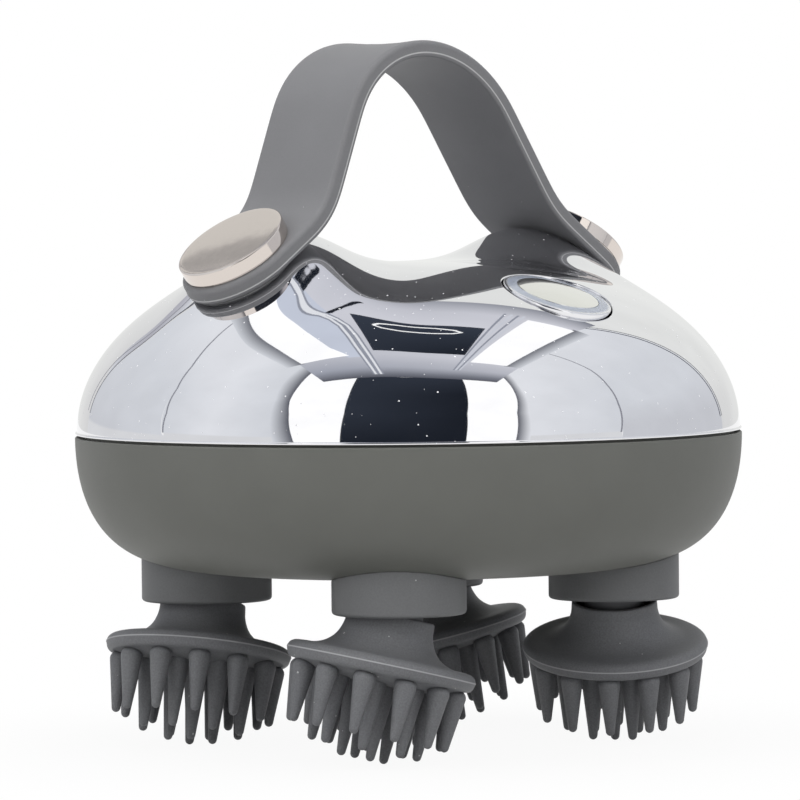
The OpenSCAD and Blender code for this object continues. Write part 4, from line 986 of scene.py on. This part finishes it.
def claw(name):
    f, p = bellForm, prongForm
    cup, rim, up = f["cup"], f["rim"], f["cupUp"]
    inner = rounded([(0, f["floor"], 0), (f["bore"], f["floor"], 0.5), (f["bore"], up, 0.3), (cup - 0.1, up, 0.42),
                     (cup, up * 0.84, 0)], 6)
    outer = smoothLine([(cup, up * 0.84), (cup + 0.05, up * 0.76), (cup + 0.3, up * 0.64), (cup + 0.8, up * 0.5),
                        (cup + 1.6, up * 0.375), (cup + 2.9, up * 0.26), (cup + 4.6, up * 0.19), (rim - 2.3, 1.5),
                        (rim - 1.1, 1.32), (rim - 0.35, 0.85), (rim - 0.03, 0.25)], 5)
    lower = smoothLine([(rim - 0.03, -0.25), (rim - 0.22, -0.95), (rim - 0.5, -1.4), (rim - 1.0, -1.72),
                        (rim - 1.6, -1.8)], 5)
    below = smoothLine([(rim - 1.6, -1.8), (rim - 2.6, -2.05), (rim - 4.2, -2.65), (rim - 6.5, -3.15),
                        (rim - 10, -3.45), (0, -3.6)], 5)
    line = inner[:-1] + outer + ridge(rim, *f["ridge"]) + lower[:-1] + below
    piece = lathePiece("claw" + name.title(), line, finishes["claw_silicone"], 144, sharp=60)
    markLine(piece, lambda c: math.hypot(c.x, c.y) > rim + onRidge)
    for count, radius, reach, phase in p["rings"]:
        ring = piece.modifiers.new("prongs", "NODES")
        ring.node_group = ringTree
        giveInputs(ring, {"Count": count, "Ring Radius": radius * mm, "Length": (reach + f["under"] + 0.3) * mm,
                          "Phase": math.radians(phase + 180), "Root Radius": p["root"] / 2 * mm,
                          "Tip Radius": p["tip"] / 2 * mm,
                          "Shoulder": p["shoulder"] * mm, "Underside": (f["under"] + 0.3) * mm,
                          "Material": finishes["claw_silicone"]})
    bake(piece)
    place = headPlace(name) @ Matrix.Translation((0, 0, -f["drop"]))
    place = place @ Matrix.Rotation(math.radians(clawTurn[name]), 4, "Z")
    place.translation *= mm
    piece.data.transform(place)
    return piece


coreForm = {"neck": 5.5, "flange": 9.1, "flangeTop": 2.2, "flangeBottom": 0.3, "top": -0.8, "collar": 3.6,
            "collarEnd": -2.4}


def headCore(name):
    f, high, low = coreForm, coreForm["flangeTop"] - bellForm["drop"], coreForm["flangeBottom"] - bellForm["drop"]
    line = rounded([(0, f["top"], 0), (f["collar"], f["top"], 0.2), (f["collar"], f["collarEnd"], 0.1),
                    (f["neck"], f["collarEnd"], 0.5), (f["neck"], high, 0), (f["flange"], high, 0), (f["flange"], low, 0),
                    (0, low, 0)], 5)
    return lathePiece("headCore" + name.title(), line, finishes["black_plastic"], 96, place=headPlace(name))


for name in headNames:
    dress(claw(name), "head_" + name, "claw_" + name)
    dress(headCore(name), "head_" + name, "head_core_" + name)
print("heads done")


# studio: pale floor, light tent and camera

cameraForm = {"distance": 1000.0, "focal": 5550.0, "azimuth": -42.0, "elevation": 2.33, "roll": 0.56,
              "centre": (408.4, 430.6), "frame": 800, "sensor": 36}


def addCamera():
    f = cameraForm
    az, el, roll = (math.radians(f[k]) for k in ("azimuth", "elevation", "roll"))
    back = Vector((math.sin(az) * math.cos(el), -math.cos(az) * math.cos(el), math.sin(el)))
    right = Vector((math.cos(az), math.sin(az), 0))
    up = back.cross(right)
    right, up = right * math.cos(roll) - up * math.sin(roll), right * math.sin(roll) + up * math.cos(roll)
    data = bpy.data.cameras.new("camera")
    data.sensor_width = f["sensor"]
    data.lens = f["focal"] / f["frame"] * f["sensor"]
    data.shift_x = (f["frame"] / 2 - f["centre"][0]) / f["frame"]
    data.shift_y = (f["centre"][1] - f["frame"] / 2) / f["frame"]
    data.clip_start, data.clip_end = 0.01, 20
    camera = bpy.data.objects.new("camera", data)
    matrix = Matrix((right, up, back)).transposed().to_4x4()
    matrix.translation = Vector((0, 0, seamZ * mm)) + back * f["distance"] * mm
    camera.matrix_world = matrix
    scene.collection.objects.link(camera)
    scene.camera = camera


def glowMaterial():
    # tent surfaces give off their own tone, with the slight unevenness of cloth
    material = bpy.data.materials.new("tentCloth")
    tree = emptyTree(material)
    tone = addNode(tree, "ShaderNodeAttribute", {"attribute_name": "tone"}).outputs["Color"]
    place = addNode(tree, "ShaderNodeTexCoord").outputs["Object"]
    folds = addNode(tree, "ShaderNodeTexNoise", None, {"Vector": place, "Scale": 1.5, "Detail": 2.0})
    level = addNode(tree, "ShaderNodeMapRange", None, {
        "Value": folds.outputs["Fac"], "From Min": 0.3, "From Max": 0.7, "To Min": 1.17, "To Max": 1.24})
    glow = addNode(tree, "ShaderNodeEmission", None, {"Color": tone, "Strength": level.outputs["Result"]})
    addNode(tree, "ShaderNodeOutputMaterial", None, {"Surface": glow.outputs["Emission"]})
    return material


def direction(azimuth, elevation, distance):
    # azimuth is measured from the camera's side, positive to its right
    a, e = math.radians(cameraForm["azimuth"] + azimuth), math.radians(elevation)
    return Vector((math.sin(a) * math.cos(e), -math.cos(a) * math.cos(e), math.sin(e))) * distance


def roofDirection(x, y, distance):
    # a point of the flat roof, x to the camera's right and y towards it, in heights of the roof
    return direction(math.degrees(math.atan2(x, y)), math.degrees(math.atan2(1, math.hypot(x, y))), distance)


# tones of the tent's surfaces
tentTones = {"dark": "1b1f27", "darkSoft": "2d323c", "lamp": "ffffff", "cloth": "ced1d6", "clothLight": "dcdee2",
             "clothShade": "c2c4c9", "clothBlue": "bfc5d2", "skirt": "d2d3d5", "seam": "85868e", "fold": "aaaab2",
             "edge": "53555e", "rod": "9a9ea9", "rodLight": "c6c9d1", "roof": "b4b6be", "roofLight": "cbccd3",
             "roofShade": "777a83", "backWall": "dcdddb", "backWallShade": "cecece", "slot": "343a45",
             "rodEdge": "8b8f9a", "capShade": "a8a9aa"}

# each patch: layer, then rows; a row is an elevation (wall) or a depth y (roof), the azimuths or x of its
# columns and, where they change from the row before, the tones of all columns or of each
wallPatches = {
    "frontOpening": (2, ((-3, -23, 19, "dark"), (24, -23, 21, "darkSoft dark"), (41, -24, 24),
                         (56.5, -25, 27, "darkSoft"))),
    "frontLamp": (1, ((-3, -38.5, 36, "lamp"), (23, -43, 39), (34, -46, 42), (45, -48, 44.5), (57.5, -51, 47))),
    "edgeLeft": (1, ((-3, -46, -38.5, "cloth edge"), (23, -50, -43), (34, -52, -46), (45, -56, -48),
                     (60, -61, -51.5))),
    "edgeRight": (1, ((-3, 36, 41, "edge clothLight"), (23, 39, 43.5), (34, 42, 46), (45, 44.5, 48),
                      (60, 47.5, 53))),
    "leftFront": (0, ((-3, -92, -70, -44, "skirt"), (3.5, -92, -70, -45),
                      (4.5, -93, -71, -45, "cloth clothLight cloth"), (30, -99, -74, -49),
                      (48, -114, -84, -54, "clothLight clothLight cloth"), (64, -130, -90, -58))),
    "leftRear": (0, ((-3, -146, -92, "skirt"), (2, -146, -92), (3, -146, -93, "clothShade cloth"),
                     (30, -146, -99, "cloth"), (48, -146, -114, "clothLight"), (64, -146, -130))),
    "rightFront": (0, ((-3, 39, 77, "skirt"), (3, 39, 77.5), (4, 39, 78, "clothLight cloth"), (22, 42, 81),
                       (35, 45, 85), (64, 50, 92, "clothLight"))),
    "rightRear": (0, ((-3, 77, 138, "clothShade"), (8, 78.5, 138), (22, 81, 138, "cloth"), (35, 85, 138),
                      (64, 92, 138, "clothLight"))),
    "backWall": (0, ((-3, 138, 180, 214, "backWallShade backWall backWallShade"),
                     (20, 138, 180, 214, "backWall backWall backWallShade"), (64, 138, 180, 214, "backWall"))),
    "cornerFold": (1, ((14, -147, -146, "cloth"), (24, -154, -147, "fold"), (33, -154, -147, "fold cloth"))),
    "cornerShade": (2, ((35.6, -150.9, -150.4, "capShade"), (36.7, -151.25, -150.2), (37.3, -151.85, -150.1),
                        (37.9, -151.5, -149.9), (38.4, -151.75, -149.8), (38.9, -151.6, -149.8),
                        (39.3, -152.05, -149.8), (40.1, -151.85, -149.8), (40.7, -152.15, -149.5),
                        (43, -152.5, -148), (56, -154, -143))),
}
roofPatches = {
    "roof": (3, ((0.66, -0.54, 0.56, "edge"), (0.58, -0.54, 0.56, "roofShade"), (0.46, -0.54, 0.56, "rod roof"),
                 (0.26, -0.54, 0.56, "roof roofLight"), (-0.25, -0.54, 0.56, "roofLight"),
                 (-0.5, -0.56, 0.56, "roof roofLight"), (-0.75, -0.58, 0.6, "roof roofShade"))),
    "blueCloth": (4, ((0.29, -0.27, -0.16, "clothBlue"), (0.12, -0.34, -0.17), (-0.15, -0.4, -0.19),
                      (-0.58, -0.5, -0.44))),
    "roofOpening": (5, ((0.2, -0.125, 0.24, "darkSoft dark"), (-0.25, -0.14, 0.24, "slot"))),
    "leftLampEdge": (5, ((0.27, -0.62, -0.51, "cloth edge"), (-0.69, -0.67, -0.57))),
    "rightLampEdge": (5, ((0.32, 0.47, 0.57, "edge cloth"), (-0.52, 0.54, 0.64))),
    "leftRoofLamp": (6, ((0.262, -0.527, -0.262, "lamp"), (0.12, -0.537, -0.33), (-0.15, -0.55, -0.388),
                         (-0.67, -0.581, -0.48))),
    "rightRoofLamp": (6, ((0.313, 0.287, 0.484, "lamp"), (-0.5, 0.347, 0.552))),
    "backLamp": (7, ((-0.66, 0.0, 0.05, "lamp"), (-0.7, 0.01, 0.05))),
    "backPort": (5, ((-0.25, -0.264, -0.232, "dark"), (-0.262, -0.268, -0.216), (-0.283, -0.214, -0.174),
                     (-0.313, -0.158, -0.134), (-0.343, -0.12, -0.094), (-0.39, -0.072, -0.05),
                     (-0.43, -0.026, -0.012))),
}
# seams and rods: width, tone, points
wallLines = {
    "seamLeft": (0.7, "seam", ((-92.5, 4), (-93, 8), (-94, 16), (-99, 30), (-106, 40), (-114, 48), (-120, 53), (-126, 58))),
    "seamRight": (0.7, "seam", ((77, 3), (81, 22), (85, 35), (89, 45), (92, 60))),
    "cornerLeftA": (0.6, "edge", ((-146, 4), (-147, 30), (-146, 54))),
    "cornerLeftB": (0.6, "seam", ((-149, 4), (-150, 30), (-148, 54))),
    "cornerRightA": (0.7, "edge", ((137, 3), (137, 56))),
    "cornerRightB": (0.5, "edge", ((138.6, 3), (138.6, 56))),
}
rodPaths = {
    "rodLeftA": ((-0.135, 0.6), (-0.165, 0.14), (-0.173, 0.0), (-0.19, -0.12), (-0.225, -0.19),
                 (-0.268, -0.24), (-0.345, -0.3)),
    "rodLeftB": ((-0.168, 0.6), (-0.2, 0.14), (-0.208, 0.0), (-0.224, -0.125), (-0.256, -0.2),
                 (-0.3, -0.255), (-0.385, -0.305)),
}
roofLines = {
    **{name: (0.034, "rodEdge", path) for name, path in rodPaths.items()},
    "rodRightA": (0.008, "rodEdge", ((0.24, 0.47), (0.262, -0.56))),
    "rodRightB": (0.01, "rodLight", ((0.25, 0.47), (0.283, -0.56))),
    "rodRightC": (0.008, "rodEdge", ((0.26, 0.47), (0.305, -0.56))),
    "rodRightD": (0.01, "rodLight", ((0.268, 0.47), (0.325, -0.56))),
    "ringLamp": (0.013, "lamp", ((-0.06, -0.15), (-0.03, -0.18), (0.03, -0.2), (0.1, -0.2), (0.15, -0.18), (0.175, -0.15),
                                 (0.15, -0.125), (0.1, -0.115), (0.03, -0.115), (-0.03, -0.125), (-0.06, -0.15))),
}
roofGlints = {name: (0.014, "clothLight", path) for name, path in rodPaths.items()}
tentForm = {"distance": 3000.0, "layer": 30.0, "cells": 16}
tones = {key: linearColour(value) for key, value in tentTones.items()}
tentCloth = glowMaterial()


def tentPiece(name, grid, layer, place):
    # a grid of (across, up, tone) becomes a finely divided patch, seen only in reflections
    n, columns, rows = tentForm["cells"], len(grid[0]) - 1, len(grid) - 1
    distance = tentForm["distance"] - layer * tentForm["layer"]
    points, shades = [], []
    for i in range(rows * n + 1):
        k = min(i // n, rows - 1)
        v = i / n - k
        for j in range(columns * n + 1):
            c = min(j // n, columns - 1)
            u = j / n - c
            corners = ((grid[k][c], (1 - v) * (1 - u)), (grid[k][c + 1], (1 - v) * u),
                       (grid[k + 1][c], v * (1 - u)), (grid[k + 1][c + 1], v * u))
            across, up = (sum(corner[q] * share for corner, share in corners) for q in (0, 1))
            points.append((place(across, up, distance) + Vector((0, 0, seamZ))) * mm)
            shades += [sum(tones[corner[2]][q] * share for corner, share in corners) for q in range(4)]
    mesh = bpy.data.meshes.new(name)
    mesh.from_pydata([tuple(q) for q in points], [], gridFaces(rows * n + 1, columns * n + 1, ringColumns=False))
    mesh.color_attributes.new("tone", "FLOAT_COLOR", "POINT").data.foreach_set("color", shades)
    piece = linkPiece(name, mesh, tentCloth)
    piece.visible_camera = False
    piece.visible_diffuse = False
    piece.visible_shadow = False


def patchGrid(rows):
    grid, tones = [], None
    for height, *columns in rows:
        if isinstance(columns[-1], str):
            tones = columns.pop().split()
        grid.append([(across, height, tones[k % len(tones)]) for k, across in enumerate(columns)])
    return grid


def lineGrid(width, tone, points):
    # a thin band along a line of points
    grid = []
    for k, point in enumerate(points):
        a, b = Vector(points[max(0, k - 1)]), Vector(points[min(len(points) - 1, k + 1)])
        side = Vector((b.y - a.y, a.x - b.x)).normalized() * width / 2
        grid.append([(*(Vector(point) + side * way), tone) for way in (-1, 1)])
    return grid


for patches, lines, place, lineLayer in ((wallPatches, wallLines, direction, 2),
                                         (roofPatches, roofLines, roofDirection, 6),
                                         ({}, roofGlints, roofDirection, 7)):
    for name, (layer, rows) in patches.items():
        tentPiece(name, patchGrid(rows), layer, place)
    for name, (width, tone, points) in lines.items():
        tentPiece(name, lineGrid(width, tone, points), lineLayer, place)
print("tent done")


def seenDirectly(tree):
    # 1 for rays from the camera and for those by way of a mirror or a clear piece
    light = addNode(tree, "ShaderNodeLightPath")
    seen = light.outputs["Is Camera Ray"]
    for kind in ("Is Glossy Ray", "Is Transmission Ray"):
        seen = addNode(tree, "ShaderNodeMath", {"operation": "MAXIMUM"}, {0: seen, 1: light.outputs[kind]}).outputs[0]
    return seen


def addFloor():
    # pale floor: white to the eye, with the object's soft shadow
    material = bpy.data.materials.new("paleFloor")
    tree = emptyTree(material)
    place = addNode(tree, "ShaderNodeTexCoord").outputs["Object"]
    far = addNode(tree, "ShaderNodeVectorMath", {"operation": "LENGTH"}, {0: place})
    fade = addNode(tree, "ShaderNodeMapRange", {"interpolation_type": "SMOOTHSTEP"}, {
        "Value": far.outputs["Value"], "From Min": 0.045, "From Max": 0.12, "To Min": 0.94, "To Max": 1.0})
    share = addNode(tree, "ShaderNodeMath", {"operation": "MULTIPLY"}, {0: seenDirectly(tree), 1: fade.outputs["Result"]})
    matt = addNode(tree, "ShaderNodeBsdfDiffuse", None, {"Color": linearColour("cfcfcf")})
    white = addNode(tree, "ShaderNodeEmission", None, {"Color": (1, 1, 1, 1), "Strength": 1.0})
    mixed = addNode(tree, "ShaderNodeMixShader", None, {0: share.outputs[0], 1: matt.outputs[0], 2: white.outputs[0]})
    addNode(tree, "ShaderNodeOutputMaterial", None, {"Surface": mixed.outputs[0]})
    mesh = bpy.data.meshes.new("floor")
    mesh.from_pydata([(-4, -4, 0), (4, -4, 0), (4, 4, 0), (-4, 4, 0)], [], [[0, 1, 2, 3]])
    linkPiece("floor", mesh, material)


def addWorld():
    # white where it is seen, soft where it only lights
    scene.world = bpy.data.worlds.new("studio")
    tree = emptyTree(scene.world)
    soft = addNode(tree, "ShaderNodeBackground", None, {"Color": linearColour("f6f7fb"), "Strength": 0.29})
    white = addNode(tree, "ShaderNodeBackground", None, {"Color": (1, 1, 1, 1), "Strength": 1.0})
    mixed = addNode(tree, "ShaderNodeMixShader", None, {0: seenDirectly(tree), 1: soft.outputs[0], 2: white.outputs[0]})
    addNode(tree, "ShaderNodeOutputWorld", None, {"Surface": mixed.outputs[0]})


def softLamp(name, azimuth, elevation, distance, size, power):
    data = bpy.data.lights.new(name, "AREA")
    data.shape = "SQUARE"
    data.size = size
    data.energy = power
    lamp = bpy.data.objects.new(name, data)
    lamp.location = direction(azimuth, elevation, distance * mm) + Vector((0, 0, seamZ * mm))
    lamp.rotation_euler = (-direction(azimuth, elevation, 1.0)).to_track_quat("-Z", "Y").to_euler()
    lamp.visible_glossy = False
    lamp.visible_camera = False
    scene.collection.objects.link(lamp)


addCamera()
addFloor()
addWorld()
softLamp("topLamp", 0, 80, 900, 0.9, 6.6)
softLamp("frontLamp", 25, 30, 1100, 0.8, 3.5)
softLamp("leftLamp", -60, 25, 1100, 0.8, 3.4)
scene.view_settings.view_transform = "Standard"
print("studio done")
